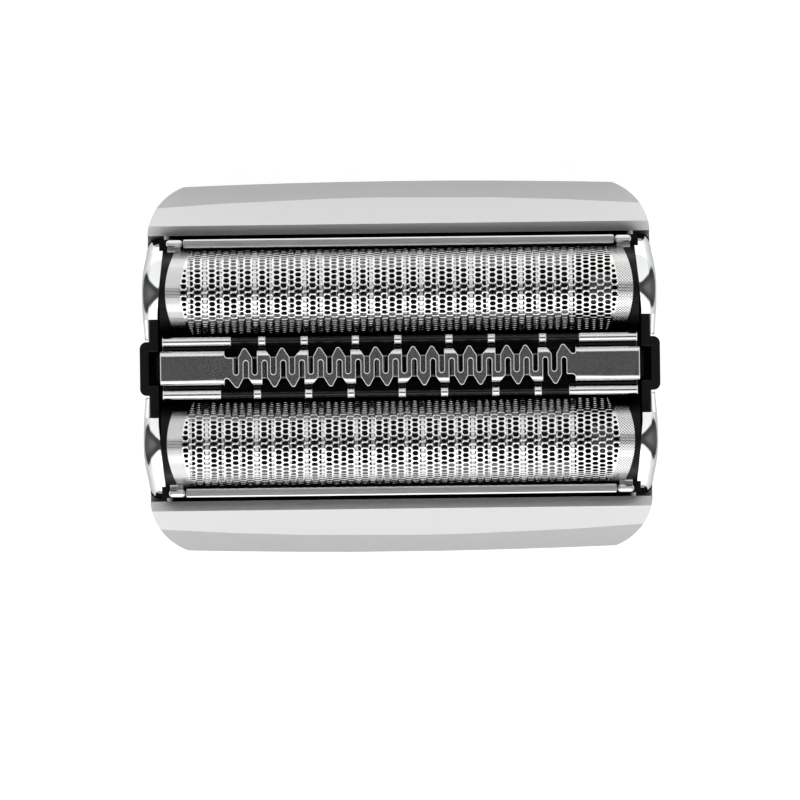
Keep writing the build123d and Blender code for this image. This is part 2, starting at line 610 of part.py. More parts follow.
with BuildPart() as half_comb:
    # Flat top with its pointed tips, the rear half of the meander and the front half of its slots.
    with BuildSketch(Plane.XY.offset(COMB_TOP - SHEET)):
        with Locations((0, ARM_END / 2)):
            Rectangle(2 * PLATE_END_X, ARM_END)
        base_half = SLOT_PITCH - SLOT_WIDTH / 2
        for index in range(SLOTS // 2):
            x = tip_x(index)
            side = leg_side(index)
            if side:
                Polygon(
                    (x - base_half, ARM_END),
                    (x + base_half, ARM_END),
                    (x + side * LEG_OFFSET + LEG_WIDTH / 2, SHOULDER_REACH),
                    (x + side * LEG_OFFSET - LEG_WIDTH / 2, SHOULDER_REACH),
                    align=None,
                )
            else:
                Polygon(
                    (x - base_half, ARM_END),
                    (x + base_half, ARM_END),
                    (x - TIP_LEAN + TIP_FLAT / 2, TIP_REACH),
                    (x - TIP_LEAN - TIP_FLAT / 2, TIP_REACH),
                    align=None,
                )
        for index in range(SLOTS):
            x = (index - (SLOTS - 1) / 2) * SLOT_PITCH
            y_limits = (0, SLOT_END) if index % 2 else (0, TIP_REACH)
            with Locations((x, (y_limits[0] + y_limits[1]) / 2)):
                Rectangle(SLOT_WIDTH, y_limits[1] - y_limits[0], mode=Mode.SUBTRACT)
    extrude(amount=SHEET)
    # Plates at both ends, with their folded sides.
    for end in (-1, 1):
        plate_x = limits(end, PLATE_END_X, COMB_LENGTH / 2)
        plate_y = (0, COMB_WIDTH / 2 - SHEET / 2 - FOLD_RUN + FOLD_LAP)
        block(plate_x, plate_y, (COMB_TOP - SHEET, COMB_TOP))
        with BuildSketch(Plane.YZ.offset(plate_x[0] if end > 0 else -BEAD_LENGTH / 2)):
            fold_line(0)
        extrude(amount=BEAD_LENGTH / 2 - PLATE_END_X)
        bead_end = PLATE_END_X - BEAD_LONG if end < 0 else PLATE_END_X + BEAD_SHORT
        with BuildSketch(Plane.YZ.offset(bead_end if end > 0 else -BEAD_LENGTH / 2)):
            fold_line(3)
        extrude(amount=BEAD_LENGTH / 2 - bead_end)
    # Legs that fold down from the shoulders and over the holder's ridge.
    for index in range(SLOTS // 2):
        side = leg_side(index)
        if side:
            with BuildSketch(Plane.YZ.offset(tip_x(index) + side * LEG_OFFSET - LEG_WIDTH / 2)):
                fold_line(0)
            extrude(amount=LEG_WIDTH)

with BuildPart() as comb:
    add(half_comb.part)
    add(half_comb.part.rotate(Axis.Z, 180))
save(comb.part, "lifting_comb")

# Trimmer holder
channel_half = CHANNEL_WIDTH / 2
with BuildPart() as holder:
    block(
        (-HOLDER_LENGTH / 2, HOLDER_LENGTH / 2),
        (-HOLDER_WIDTH / 2, HOLDER_WIDTH / 2),
        (HOLDER_BASE_Z, HOLDER_TOP_Z),
    )
    for side in (-1, 1):
        ridge = sorted((side * RIDGE[0], side * RIDGE[1]))
        block((-HOLDER_LENGTH / 2, HOLDER_LENGTH / 2), ridge, (HOLDER_TOP_Z, RIDGE_TOP))
    ridge_tops = holder.faces().sort_by(Axis.Z)[-2:].edges().filter_by(Axis.X)
    fillet(ridge_tops, RIDGE_ROUND)
    channel = HOLDER_LENGTH / 2 - CHANNEL_END
    block(
        (-channel, channel),
        (-channel_half, channel_half),
        (HOLDER_BASE_Z + HOLDER_FLOOR, HOLDER_TOP_Z),
        Mode.SUBTRACT,
    )
    drive_room = (DRIVE_FORK[0] + STROKE) / 2 + FIT_GAP
    block(
        (-drive_room, drive_room),
        (-channel_half, channel_half),
        (HOLDER_BASE_Z, HOLDER_TOP_Z),
        Mode.SUBTRACT,
    )
    for end in (-1, 1):
        tongue_x = limits(end, HOLDER_LENGTH / 2 - TONGUE_ROOT, HOLDER_LENGTH / 2 + TONGUE_REACH)
        block(
            tongue_x,
            (-TONGUE_WIDTH / 2, TONGUE_WIDTH / 2),
            (HOLDER_BASE_Z, HOLDER_BASE_Z + TONGUE_HIGH),
        )
save(holder.part, "trimmer_holder")

# Moving blade of the trimmer, an inverted channel with teeth
bar_x = (CUTTER_SHIFT - BAR_LENGTH / 2, CUTTER_SHIFT + BAR_LENGTH / 2)
with BuildPart() as bar:
    block(bar_x, (-BAR_WIDTH / 2, BAR_WIDTH / 2), (BAR_FOOT, BAR_TOP))
    block(
        bar_x,
        (-BAR_WIDTH / 2 + SHEET, BAR_WIDTH / 2 - SHEET),
        (BAR_FOOT, BAR_TOP - SHEET),
        Mode.SUBTRACT,
    )
    with Locations((CUTTER_SHIFT, 0, (BAR_TOP + TOOTH_ROOT) / 2)):
        with GridLocations(TOOTH_PITCH, 1, TEETH - 1, 1):
            Box(TOOTH_GAP, BAR_WIDTH + 1, BAR_TOP - TOOTH_ROOT, mode=Mode.SUBTRACT)
save(bar.part, "trimmer_blade")

with BuildPart() as trimmer_drive:
    block(
        bar_x,
        (-BAR_WIDTH / 2 + SHEET, BAR_WIDTH / 2 - SHEET),
        (HOLDER_BASE_Z + HOLDER_FLOOR + SLIDE_GAP, TOOTH_ROOT),
    )
    with Locations((CUTTER_SHIFT, 0, (DRIVE_Z + BAR_FOOT) / 2)):
        Box(DRIVE_FORK[0], DRIVE_FORK[1], BAR_FOOT - DRIVE_Z)
    with Locations((CUTTER_SHIFT, 0, DRIVE_Z + FORK_SLOT[1] / 2)):
        Box(FORK_SLOT[0], DRIVE_FORK[1], FORK_SLOT[1], mode=Mode.SUBTRACT)
save(trimmer_drive.part, "trimmer_drive")


# Float springs
def float_spring(centre_y, width, head_z, end):
    """Makes one strip spring between the chassis plate and the unit that it lifts."""
    middle = SPRING_THICK / 2
    path = [
        (SPRING_FOOT_OUT, SEAT_Z + middle),
        (SPRING_FOOT_IN, SEAT_Z + middle),
        (SPRING_HEAD_X + SPRING_HEAD / 2, head_z - middle),
        (SPRING_HEAD_X - SPRING_HEAD / 2, head_z - middle),
    ]
    with BuildPart() as spring:
        with BuildSketch(Plane.XZ.offset(-centre_y - width / 2)):
            with BuildLine() as line:
                Polyline(*bent_path([(end * x, z) for x, z in path], SPRING_BEND))
            trace(line.line, SPRING_THICK)
        extrude(amount=width)
    return spring.part


for end_name, end in (("left", -1), ("right", 1)):
    unit_spring = float_spring(FOIL_Y, SPRING_WIDTH, FRAME_BASE_Z, end)
    save_pair(unit_spring, f"{end_name}_spring")
    trimmer_spring = float_spring(0, TRIMMER_SPRING_WIDTH, HOLDER_BASE_Z, end)
    save(trimmer_spring, f"trimmer_{end_name}_spring")
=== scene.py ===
"""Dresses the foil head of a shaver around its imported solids.

The solids give each piece its place and its reach. This script makes the perforated foils, the
folded comb, the domed caps and the blades, rounds the mouldings, and gives each piece its finish.
Pieces are modelled in millimetres and brought to metres when they are finished.
"""

from __future__ import annotations

import json
import logging
import math
from contextlib import contextmanager
from dataclasses import dataclass, replace
from enum import Enum, IntEnum
from typing import Callable, Iterator

import bmesh
import bpy
from mathutils import Matrix, Vector

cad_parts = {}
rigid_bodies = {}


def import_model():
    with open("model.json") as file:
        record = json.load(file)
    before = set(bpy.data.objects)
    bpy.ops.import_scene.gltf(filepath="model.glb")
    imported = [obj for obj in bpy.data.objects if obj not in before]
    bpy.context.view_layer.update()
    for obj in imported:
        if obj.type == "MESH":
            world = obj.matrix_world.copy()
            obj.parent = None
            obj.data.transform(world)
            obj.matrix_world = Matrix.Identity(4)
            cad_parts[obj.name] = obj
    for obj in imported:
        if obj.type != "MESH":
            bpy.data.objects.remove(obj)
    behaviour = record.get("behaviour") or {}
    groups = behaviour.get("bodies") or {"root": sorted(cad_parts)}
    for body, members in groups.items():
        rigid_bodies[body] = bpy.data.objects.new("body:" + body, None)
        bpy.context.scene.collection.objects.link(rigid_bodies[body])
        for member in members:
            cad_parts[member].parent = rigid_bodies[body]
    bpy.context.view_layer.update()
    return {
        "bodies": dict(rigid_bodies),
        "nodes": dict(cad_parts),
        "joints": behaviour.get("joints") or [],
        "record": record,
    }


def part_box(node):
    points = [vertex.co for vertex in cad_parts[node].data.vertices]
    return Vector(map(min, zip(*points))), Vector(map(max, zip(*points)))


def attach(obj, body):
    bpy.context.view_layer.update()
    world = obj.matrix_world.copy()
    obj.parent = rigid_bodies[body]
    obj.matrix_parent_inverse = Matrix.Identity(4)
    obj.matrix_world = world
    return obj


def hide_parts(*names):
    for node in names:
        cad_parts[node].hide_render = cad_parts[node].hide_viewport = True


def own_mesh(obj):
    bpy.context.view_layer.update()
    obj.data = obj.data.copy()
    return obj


LOG = logging.getLogger("foil_head")
MM = 0.001
QUARTER = math.pi / 2

# How near two points are one, on a solid and on a stamped outline, in millimetres
MERGE = 0.002
OUTLINE_MERGE = 0.0005

# The grain, the smudges and the specks that every finish shares
GRAIN_CONTRAST = 2.0
SMUDGE_FINENESS = 0.2
SMUDGE_CONTRAST = 1.6
SMUDGE_SHARE = 0.6
SPECK_FINENESS = 3.0
SPECK_SIZE = 0.14
LEAST_ROUGHNESS = 0.01

Corner = tuple[float, float, float]
Limits = tuple[float, float]


class Slot(Enum):
    """The record's material slots."""

    SILVER = "silver_shell"
    BLACK = "black_plastic"
    NICKEL = "foil_nickel"
    BLADE = "blade_steel"
    COMB = "comb_steel"
    CHROME = "chrome"
    SPRING = "spring_steel"


class Side(Enum):
    """The two foil units, by the sign of their place across the head."""

    REAR = 1
    FRONT = -1

    @property
    def word(self) -> str:
        """The side's name as the nodes and bodies spell it."""
        return self.name.lower()


class End(Enum):
    """The two ends of the head, by the sign of their place along it."""

    LEFT = -1
    RIGHT = 1

    @property
    def word(self) -> str:
        """The end's name as the nodes spell it."""
        return self.name.lower()


class Coat(IntEnum):
    """The coats on the housing's faces, in the order of its materials."""

    SLOPE = 0
    INSIDE = 1
    # Painted shade: a darker copy of the paint below the crease.
    FLANK = 2
    # Painted light: a brighter copy of the paint on the lip.
    LIP = 3


# Selecting and shaping


def between(first: float, last: float) -> Limits:
    """Gives two limits in rising order."""
    return min(first, last), max(first, last)


def only(piece: bpy.types.Object | None) -> None:
    """Makes one piece the only selected and the active one, or deselects everything.

    Args:
        piece: the object that the next operators act on, or None before a primitive is added.
    """
    for other in bpy.context.view_layer.objects:
        other.select_set(False)
    if piece:
        piece.select_set(True)
        bpy.context.view_layer.objects.active = piece


@contextmanager
def editing(piece: bpy.types.Object) -> Iterator[None]:
    """Opens a piece in edit mode with nothing selected, and closes it again.

    Args:
        piece: the object to edit.
    """
    only(piece)
    bpy.ops.object.mode_set(mode="EDIT")
    bpy.ops.mesh.select_all(action="DESELECT")
    try:
        yield
    finally:
        bpy.ops.object.mode_set(mode="OBJECT")


def pick_faces(piece: bpy.types.Object, wanted: Callable[[bmesh.types.BMFace], bool]) -> None:
    """Selects the faces of a piece in edit mode that pass a test, and no others.

    Args:
        piece: the object in edit mode.
        wanted: says whether a face is selected.
    """
    bpy.ops.mesh.select_mode(type="FACE")
    shape = bmesh.from_edit_mesh(piece.data)
    for face in shape.faces:
        face.select_set(wanted(face))
    bmesh.update_edit_mesh(piece.data)


def pick_edges(piece: bpy.types.Object, wanted: Callable[[bmesh.types.BMEdge], bool]) -> None:
    """Selects the edges of a piece in edit mode that pass a test, and no others.

    Args:
        piece: the object in edit mode.
        wanted: says whether an edge is selected.
    """
    bpy.ops.mesh.select_mode(type="EDGE")
    shape = bmesh.from_edit_mesh(piece.data)
    for edge in shape.edges:
        edge.select_set(wanted(edge))
    bmesh.update_edit_mesh(piece.data)


def place_points(piece: bpy.types.Object, place: Callable[[Vector], Vector]) -> None:
    """Moves every point of a piece to where a rule puts it.

    Args:
        piece: the object whose mesh is shaped.
        place: gives a point's new place from its old one.
    """
    for point in piece.data.vertices:
        point.co = place(point.co)
    piece.data.update()


def apply_all(piece: bpy.types.Object) -> None:
    """Applies every modifier of a piece in order."""
    only(piece)
    for modifier in list(piece.modifiers):
        bpy.ops.object.modifier_apply(modifier=modifier.name)


def smooth(piece: bpy.types.Object, degrees: float = 32.0, flats: bool = False) -> None:
    """Shades a piece smooth, with edges kept sharp above an angle.

    Args:
        piece: the object to shade.
        degrees: the angle between faces above which an edge stays sharp.
        flats: whether the larger faces keep their own flat shading.
    """
    only(piece)
    bpy.ops.object.shade_smooth_by_angle(angle=math.radians(degrees))
    if flats:
        weighted = piece.modifiers.new("flats", "WEIGHTED_NORMAL")
        weighted.keep_sharp = True
        apply_all(piece)


def round_edges(
    piece: bpy.types.Object,
    width: float,
    segments: int = 2,
    degrees: float = 30.0,
    shade: float = 40.0,
) -> None:
    """Rounds a piece's edges and keeps its flat faces flat.

    Args:
        piece: the object to round, in millimetres.
        width: how far a rounding reaches from the edge.
        segments: how many faces make a rounding.
        degrees: the angle between faces above which an edge is rounded.
        shade: the angle between faces above which the shading breaks.
    """
    bevel = piece.modifiers.new("rounding", "BEVEL")
    bevel.limit_method = "ANGLE"
    bevel.angle_limit = math.radians(degrees)
    bevel.width = width
    bevel.segments = segments
    bevel.use_clamp_overlap = True
    apply_all(piece)
    smooth(piece, shade, flats=True)


def merged_copy(node: bpy.types.Object, name: str) -> bpy.types.Object:
    """Copies a solid's mesh in millimetres, with its loose triangles joined into whole faces.

    Args:
        node: the solid's object.
        name: the copy's name.

    Returns:
        The copy, ready to be rounded.
    """
    mesh = node.data.copy()
    mesh.transform(Matrix.Scale(1 / MM, 4))
    mesh.materials.clear()
    piece = bpy.data.objects.new(name, mesh)
    bpy.context.scene.collection.objects.link(piece)
    only(piece)
    if mesh.has_custom_normals:
        bpy.ops.mesh.customdata_custom_splitnormals_clear()
    with editing(piece):
        bpy.ops.mesh.select_all(action="SELECT")
        bpy.ops.mesh.remove_doubles(threshold=MERGE)
        bpy.ops.mesh.dissolve_limited(angle_limit=math.radians(0.5))
    return piece


def block(name: str, x: Limits, y: Limits, z: Limits) -> bpy.types.Object:
    """Adds a block between two limits along each axis, to be shaped further.

    Args:
        name: the piece's name.
        x: its limits along the head.
        y: its limits across the head.
        z: its limits in height.

    Returns:
        The block, with its place in its mesh.
    """
    only(None)
    middle = Vector((sum(x) / 2, sum(y) / 2, sum(z) / 2))
    bpy.ops.mesh.primitive_cube_add(size=1, location=middle)
    piece = bpy.context.object
    piece.name = name
    piece.scale = (x[1] - x[0], y[1] - y[0], z[1] - z[0])
    bpy.ops.object.transform_apply(location=True, scale=True)
    return piece


def join(pieces: list[bpy.types.Object]) -> bpy.types.Object:
    """Joins pieces into the first of them.

    Args:
        pieces: the pieces, the one that stays first.

    Returns:
        The joined piece.
    """
    only(pieces[0])
    for piece in pieces[1:]:
        piece.select_set(True)
    bpy.ops.object.join()
    return pieces[0]


def rounded(corners: list[Corner], steps: int = 3, reach: float = 0.49) -> list[Vector]:
    """Rounds the corners of a closed outline.

    Args:
        corners: the place and the radius of each corner.
        steps: how many straight runs make a quarter turn.
        reach: the most of a side that one rounding takes up.

    Returns:
        The outline's points.
    """
    points = []
    for index, (x, y, radius) in enumerate(corners):
        here = Vector((x, y))
        back = Vector(corners[index - 1][:2]) - here
        ahead = Vector(corners[(index + 1) % len(corners)][:2]) - here
        opening = back.angle(ahead)
        side = min(back.length, ahead.length)
        cut = min(radius / math.tan(opening / 2), side * reach)
        if cut < 0.001 or opening > math.radians(178):
            points.append(here)
            continue
        radius = cut * math.tan(opening / 2)
        middle_way = (back.normalized() + ahead.normalized()).normalized()
        centre = here + middle_way * radius / math.sin(opening / 2)
        first = here + back.normalized() * cut - centre
        last = here + ahead.normalized() * cut - centre
        count = max(2, round(steps * (math.pi - opening) / QUARTER))
        points += [centre + radius * first.slerp(last, step / count) for step in range(count + 1)]
    return points


def cut_sheet(name: str, outline: list[Vector], thickness: float, rim: float) -> bpy.types.Object:
    """Cuts a flat sheet with rounded rims from a closed outline.

    Args:
        name: the sheet's name.
        outline: its points, anticlockwise.
        thickness: how thick it is.
        rim: the radius of its rims.

    Returns:
        The sheet, lying in the XY plane about its middle.
    """
    data = bpy.data.curves.new(name, "CURVE")
    data.dimensions = "2D"
    data.fill_mode = "BOTH"
    data.extrude = thickness / 2 - rim
    data.bevel_depth = rim
    data.bevel_resolution = 2
    data.offset = -rim
    spline = data.splines.new("POLY")
    spline.points.add(len(outline) - 1)
    for point, place in zip(spline.points, outline):
        point.co = (place.x, place.y, 0, 1)
    spline.use_cyclic_u = True
    piece = bpy.data.objects.new(name, data)
    bpy.context.scene.collection.objects.link(piece)
    only(piece)
    bpy.ops.object.convert(target="MESH")
    piece = bpy.context.object
    with editing(piece):
        bpy.ops.mesh.select_all(action="SELECT")
        bpy.ops.mesh.remove_doubles(threshold=OUTLINE_MERGE)
        bpy.ops.mesh.normals_make_consistent(inside=False)
    return piece


def score(piece: bpy.types.Object, places: list[float]) -> None:
    """Adds lines of points along a sheet where it will be folded.

    Args:
        piece: the flat sheet.
        places: where the lines cross the Y axis.
    """
    with editing(piece):
        for place in places:
            bpy.ops.mesh.select_all(action="SELECT")
            bpy.ops.mesh.bisect(plane_co=(0, place, 0), plane_no=(0, 1, 0))


def to_frame(piece: bpy.types.Object) -> None:
    """Brings a finished piece from millimetres to metres, in its mesh."""
    piece.data.transform(Matrix.Scale(MM, 4))
    piece.data.update()


# Finishes


class Nodes:
    """A node tree with short calls that add and join its nodes."""

    def __init__(self, tree: bpy.types.NodeTree) -> None:
        """Starts on a tree.

        Args:
            tree: the material's, world's or group's node tree.
        """
        self.tree = tree

    def add(
        self, kind: str, inputs: dict[str | int, object] | None = None, **settings: object
    ) -> bpy.types.Node:
        """Adds a node.

        Args:
            kind: the node's type name.
            inputs: values of its sockets, by name or number, or the sockets that feed them.
            settings: its other properties.

        Returns:
            The new node.
        """
        node = self.tree.nodes.new(kind)
        for name, value in settings.items():
            setattr(node, name, value)
        for socket, value in (inputs or {}).items():
            if isinstance(value, bpy.types.NodeSocket):
                self.join(value, node.inputs[socket])
            else:
                node.inputs[socket].default_value = value
        return node

    def join(self, source: bpy.types.NodeSocket, target: bpy.types.NodeSocket) -> None:
        """Links an output socket to an input socket."""
        self.tree.links.new(source, target)

    def math(self, operation: str, *values: object, clamp: bool = False) -> bpy.types.NodeSocket:
        """Adds a math node.

        Args:
            operation: what it works out.
            values: its numbers, or the sockets that feed them.
            clamp: whether the result is held between 0 and 1.

        Returns:
            Its output.
        """
        node = self.add("ShaderNodeMath", dict(enumerate(values)), operation=operation, use_clamp=clamp)
        return node.outputs[0]

    def vector(self, operation: str, *values: object) -> bpy.types.Node:
        """Adds a vector math node.

        Args:
            operation: what it works out.
            values: its vectors, or the sockets that feed them.

        Returns:
            The node.
        """
        return self.add("ShaderNodeVectorMath", dict(enumerate(values)), operation=operation)

    def span(
        self, value: object, low: object, high: object, first: float, last: float
    ) -> bpy.types.NodeSocket:
        """Adds a smooth step from one value to another.

        Args:
            value: the socket that drives it.
            low: where the step starts.
            high: where it ends.
            first: the result before it.
            last: the result after it.

        Returns:
            Its output.
        """
        inputs = {"Value": value, "From Min": low, "From Max": high, "To Min": first, "To Max": last}
        return self.add("ShaderNodeMapRange", inputs, interpolation_type="SMOOTHSTEP").outputs[0]

    def mix(self, share: object, first: object, last: object) -> bpy.types.NodeSocket:
        """Mixes two colours.

        Args:
            share: the socket that says how much there is of the second.
            first: the first colour.
            last: the second colour.

        Returns:
            Its output.
        """
        inputs = {0: share, 6: first, 7: last}
        return self.add("ShaderNodeMix", inputs, data_type="RGBA").outputs[2]

    def scaled(self, vector: object, factor: object) -> bpy.types.NodeSocket:
        """Multiplies a vector or a colour by a number.

        Args:
            vector: the socket that gives it.
            factor: the number, or the socket that feeds it.

        Returns:
            Its output.
        """
        inputs = {0: vector, "Scale": factor}
        return self.add("ShaderNodeVectorMath", inputs, operation="SCALE").outputs[0]

    def where(self, kind: str) -> bpy.types.NodeSocket:
        """Gives the place on the piece, as Object or UV coordinates."""
        return self.add("ShaderNodeTexCoord").outputs[kind]

    def axes(self, kind: str) -> bpy.types.bpy_prop_collection:
        """Gives the X, Y and Z of the place on the piece, or of the direction in the sky."""
        return self.add("ShaderNodeSeparateXYZ", {0: self.where(kind)}).outputs

    def bump(self, height: object, distance: float, **normal: object) -> bpy.types.NodeSocket:
        """Raises a surface by a mask.

        Args:
            height: the mask's socket.
            distance: how high it raises, in millimetres.
            normal: the socket of a normal that was raised before, as Normal.

        Returns:
            The normal's socket.
        """
        inputs = {"Strength": 1.0, "Distance": distance * MM, "Height": height, **normal}
        return self.add("ShaderNodeBump", inputs).outputs[0]


def new_group(name: str, inputs: tuple[str, ...]) -> Nodes:
    """Starts a shader node group with number inputs and a mask output.

    Args:
        name: the group's name.
        inputs: its inputs' names.

    Returns:
        The group's nodes, so far none.
    """
    tree = bpy.data.node_groups.new(name, "ShaderNodeTree")
    for socket in inputs:
        made = tree.interface.new_socket(socket, in_out="INPUT", socket_type="NodeSocketFloat")
        made.default_value = 1.0
    tree.interface.new_socket("Mask", in_out="OUTPUT", socket_type="NodeSocketFloat")
    return Nodes(tree)


def grain_group() -> bpy.types.NodeTree:
    """Builds, once, the group for grain, brushing and smudges.

    Returns:
        A group whose inputs are the grain's fineness per millimetre, its stretch along the head
        and its contrast, and whose output is a mask from 0 to 1.
    """
    name = "surface_grain"
    if name in bpy.data.node_groups:
        return bpy.data.node_groups[name]
    nodes = new_group(name, ("Fineness", "Stretch", "Contrast"))
    entry = nodes.add("NodeGroupInput").outputs
    along = nodes.math("DIVIDE", 1 / MM, entry["Stretch"])
    scale = nodes.add("ShaderNodeCombineXYZ", {"X": along, "Y": 1 / MM, "Z": 1 / MM}).outputs[0]
    placing = {"Vector": nodes.where("Object"), "Scale": scale}
    mapped = nodes.add("ShaderNodeMapping", placing).outputs[0]
    inputs = {"Vector": mapped, "Scale": entry["Fineness"], "Detail": 3.0, "Roughness": 0.55}
    noise = nodes.add("ShaderNodeTexNoise", inputs).outputs["Fac"]
    centred = nodes.math("SUBTRACT", noise, 0.5)
    spread = nodes.math("MULTIPLY_ADD", centred, entry["Contrast"], 0.5, clamp=True)
    nodes.add("NodeGroupOutput", {"Mask": spread})
    return nodes.tree


def speck_group() -> bpy.types.NodeTree:
    """Builds, once, the group for the few bright specks that lie on every surface.

    Returns:
        A group whose inputs are the cells to a millimetre, the share of cells with a speck and
        the specks' size, and whose output is a mask from 0 to 1.
    """
    name = "surface_specks"
    if name in bpy.data.node_groups:
        return bpy.data.node_groups[name]
    nodes = new_group(name, ("Fineness", "Share", "Size"))
    entry = nodes.add("NodeGroupInput").outputs
    placing = {"Vector": nodes.where("Object"), "Scale": (1 / MM, 1 / MM, 1 / MM)}
    mapped = nodes.add("ShaderNodeMapping", placing).outputs[0]
    cells = nodes.add("ShaderNodeTexVoronoi", {"Vector": mapped, "Scale": entry["Fineness"]})
    split = nodes.add("ShaderNodeSeparateColor", {"Color": cells.outputs["Color"]})
    chosen = nodes.math("LESS_THAN", split.outputs[0], entry["Share"])
    near = nodes.span(cells.outputs["Distance"], 0.0, entry["Size"], 1.0, 0.0)
    nodes.add("NodeGroupOutput", {"Mask": nodes.math("MULTIPLY", near, chosen)})
    return nodes.tree


def dot_group() -> bpy.types.NodeTree:
    """Builds, once, the group for staggered rows of round dots on a sheet's own UV map.

    Returns:
        A group whose inputs are the dots' pitch and size in the map's units, and whose output is
        a mask from 0 to 1.
    """
    name = "staggered_dots"
    if name in bpy.data.node_groups:
        return bpy.data.node_groups[name]
    nodes = new_group(name, ("Pitch", "Size"))
    entry = nodes.add("NodeGroupInput").outputs
    turns = nodes.math("DIVIDE", 1.0, entry["Pitch"])
    scaled = nodes.scaled(nodes.where("UV"), turns)
    rows = []
    for shift in (0.0, 0.5):
        moved = nodes.vector("ADD", scaled, (shift, shift, 0)).outputs[0]
        cell = nodes.vector("FRACTION", moved).outputs[0]
        off = nodes.vector("SUBTRACT", cell, (0.5, 0.5, 0)).outputs[0]
        rows.append(nodes.vector("LENGTH", off).outputs["Value"])
    nearest = nodes.math("MINIMUM", *rows)
    inner = nodes.math("MULTIPLY", entry["Size"], 0.5)
    nodes.add("NodeGroupOutput", {"Mask": nodes.span(nearest, inner, entry["Size"], 1.0, 0.0)})
    return nodes.tree


@dataclass(frozen=True)
class Finish:
    """A finish: a base colour, a gloss, and the grain that breaks them up.

    Attributes:
        name: the material's name.
        slot: the record's slot that it belongs to; not used.
        colour: the base colour, linear.
        metallic: how much of it is bare metal.
        roughness: the middle of its roughness.
        fineness: how many grains there are to a millimetre.
        stretch: how much longer than wide a grain is, along the head.
        colour_swing: the share by which the grain lightens and darkens the colour.
        gloss_swing: how far the grain moves the roughness.
        relief: the height of the grain in millimetres.
        specks: how many of the cells of a third of a millimetre hold a bright speck.
        specular: how strongly it mirrors where it isn't metal, 0.5 being usual.
    """

    name: str
    slot: Slot
    colour: tuple[float, float, float]
    metallic: float
    roughness: float
    fineness: float = 6.0
    stretch: float = 1.0
    colour_swing: float = 0.04
    gloss_swing: float = 0.03
    relief: float = 0.0005
    specks: float = 0.01
    specular: float = 0.5

    def material(self) -> bpy.types.Material:
        """Builds the material, or finds it when it is there already.

        Returns:
            The finished material.
        """
        if self.name in bpy.data.materials:
            return bpy.data.materials[self.name]
        material = bpy.data.materials.new(self.name)
        material.use_nodes = True
        nodes = Nodes(material.node_tree)
        shader = material.node_tree.nodes["Principled BSDF"]
        shader.inputs["Metallic"].default_value = self.metallic
        shader.inputs["Specular IOR Level"].default_value = self.specular
        fine = {"Fineness": self.fineness, "Stretch": self.stretch, "Contrast": GRAIN_CONTRAST}
        wide = {"Fineness": SMUDGE_FINENESS, "Stretch": 1.0, "Contrast": SMUDGE_CONTRAST}
        spots = {"Fineness": SPECK_FINENESS, "Share": self.specks, "Size": SPECK_SIZE}
        grain = self.mask(nodes, grain_group(), **fine)
        smudge = self.mask(nodes, grain_group(), **wide)
        speck = self.mask(nodes, speck_group(), **spots)
        nodes.join(self.tint(nodes, grain, speck), shader.inputs["Base Color"])
        nodes.join(self.gloss(nodes, grain, smudge), shader.inputs["Roughness"])
        nodes.join(self.surface(nodes, grain), shader.inputs["Normal"])
        return material

    def mask(self, nodes: Nodes, group: bpy.types.NodeTree, **values: float) -> bpy.types.NodeSocket:
        """Places a shared group and gives its mask.

        Args:
            nodes: the material's nodes.
            group: the group to place.
            values: its inputs.

        Returns:
            The mask's socket.
        """
        return nodes.add("ShaderNodeGroup", dict(values), node_tree=group).outputs["Mask"]

    def tint(
        self, nodes: Nodes, grain: bpy.types.NodeSocket, speck: bpy.types.NodeSocket
    ) -> bpy.types.NodeSocket:
        """Lightens and darkens the base colour by the grain, and lightens it at the specks.

        Args:
            nodes: the material's nodes.
            grain: the fine mask.
            speck: the specks' mask.

        Returns:
            The colour's socket.
        """
        dark = tuple(c * (1 - self.colour_swing) for c in self.colour) + (1.0,)
        light = tuple(min(1.0, c * (1 + self.colour_swing)) for c in self.colour) + (1.0,)
        bright = tuple(0.5 + 0.5 * c for c in self.colour) + (1.0,)
        return nodes.mix(speck, nodes.mix(grain, dark, light), bright)

    def gloss(
        self, nodes: Nodes, grain: bpy.types.NodeSocket, smudge: bpy.types.NodeSocket
    ) -> bpy.types.NodeSocket:
        """Moves the roughness by the grain and by wide, faint smudges.

        Args:
            nodes: the material's nodes.
            grain: the fine mask.
            smudge: the wide mask.

        Returns:
            The roughness socket.
        """
        low = max(LEAST_ROUGHNESS, self.roughness - self.gloss_swing)
        limits = {"To Min": low, "To Max": self.roughness + self.gloss_swing}
        fine = nodes.add("ShaderNodeMapRange", {"Value": grain, **limits}).outputs[0]
        return nodes.math("MULTIPLY_ADD", smudge, self.gloss_swing * SMUDGE_SHARE, fine)

    def surface(self, nodes: Nodes, grain: bpy.types.NodeSocket) -> bpy.types.NodeSocket:
        """Raises the grain a little.

        Args:
            nodes: the material's nodes.
            grain: the fine mask.

        Returns:
            The normal's socket.
        """
        return nodes.bump(grain, self.relief)


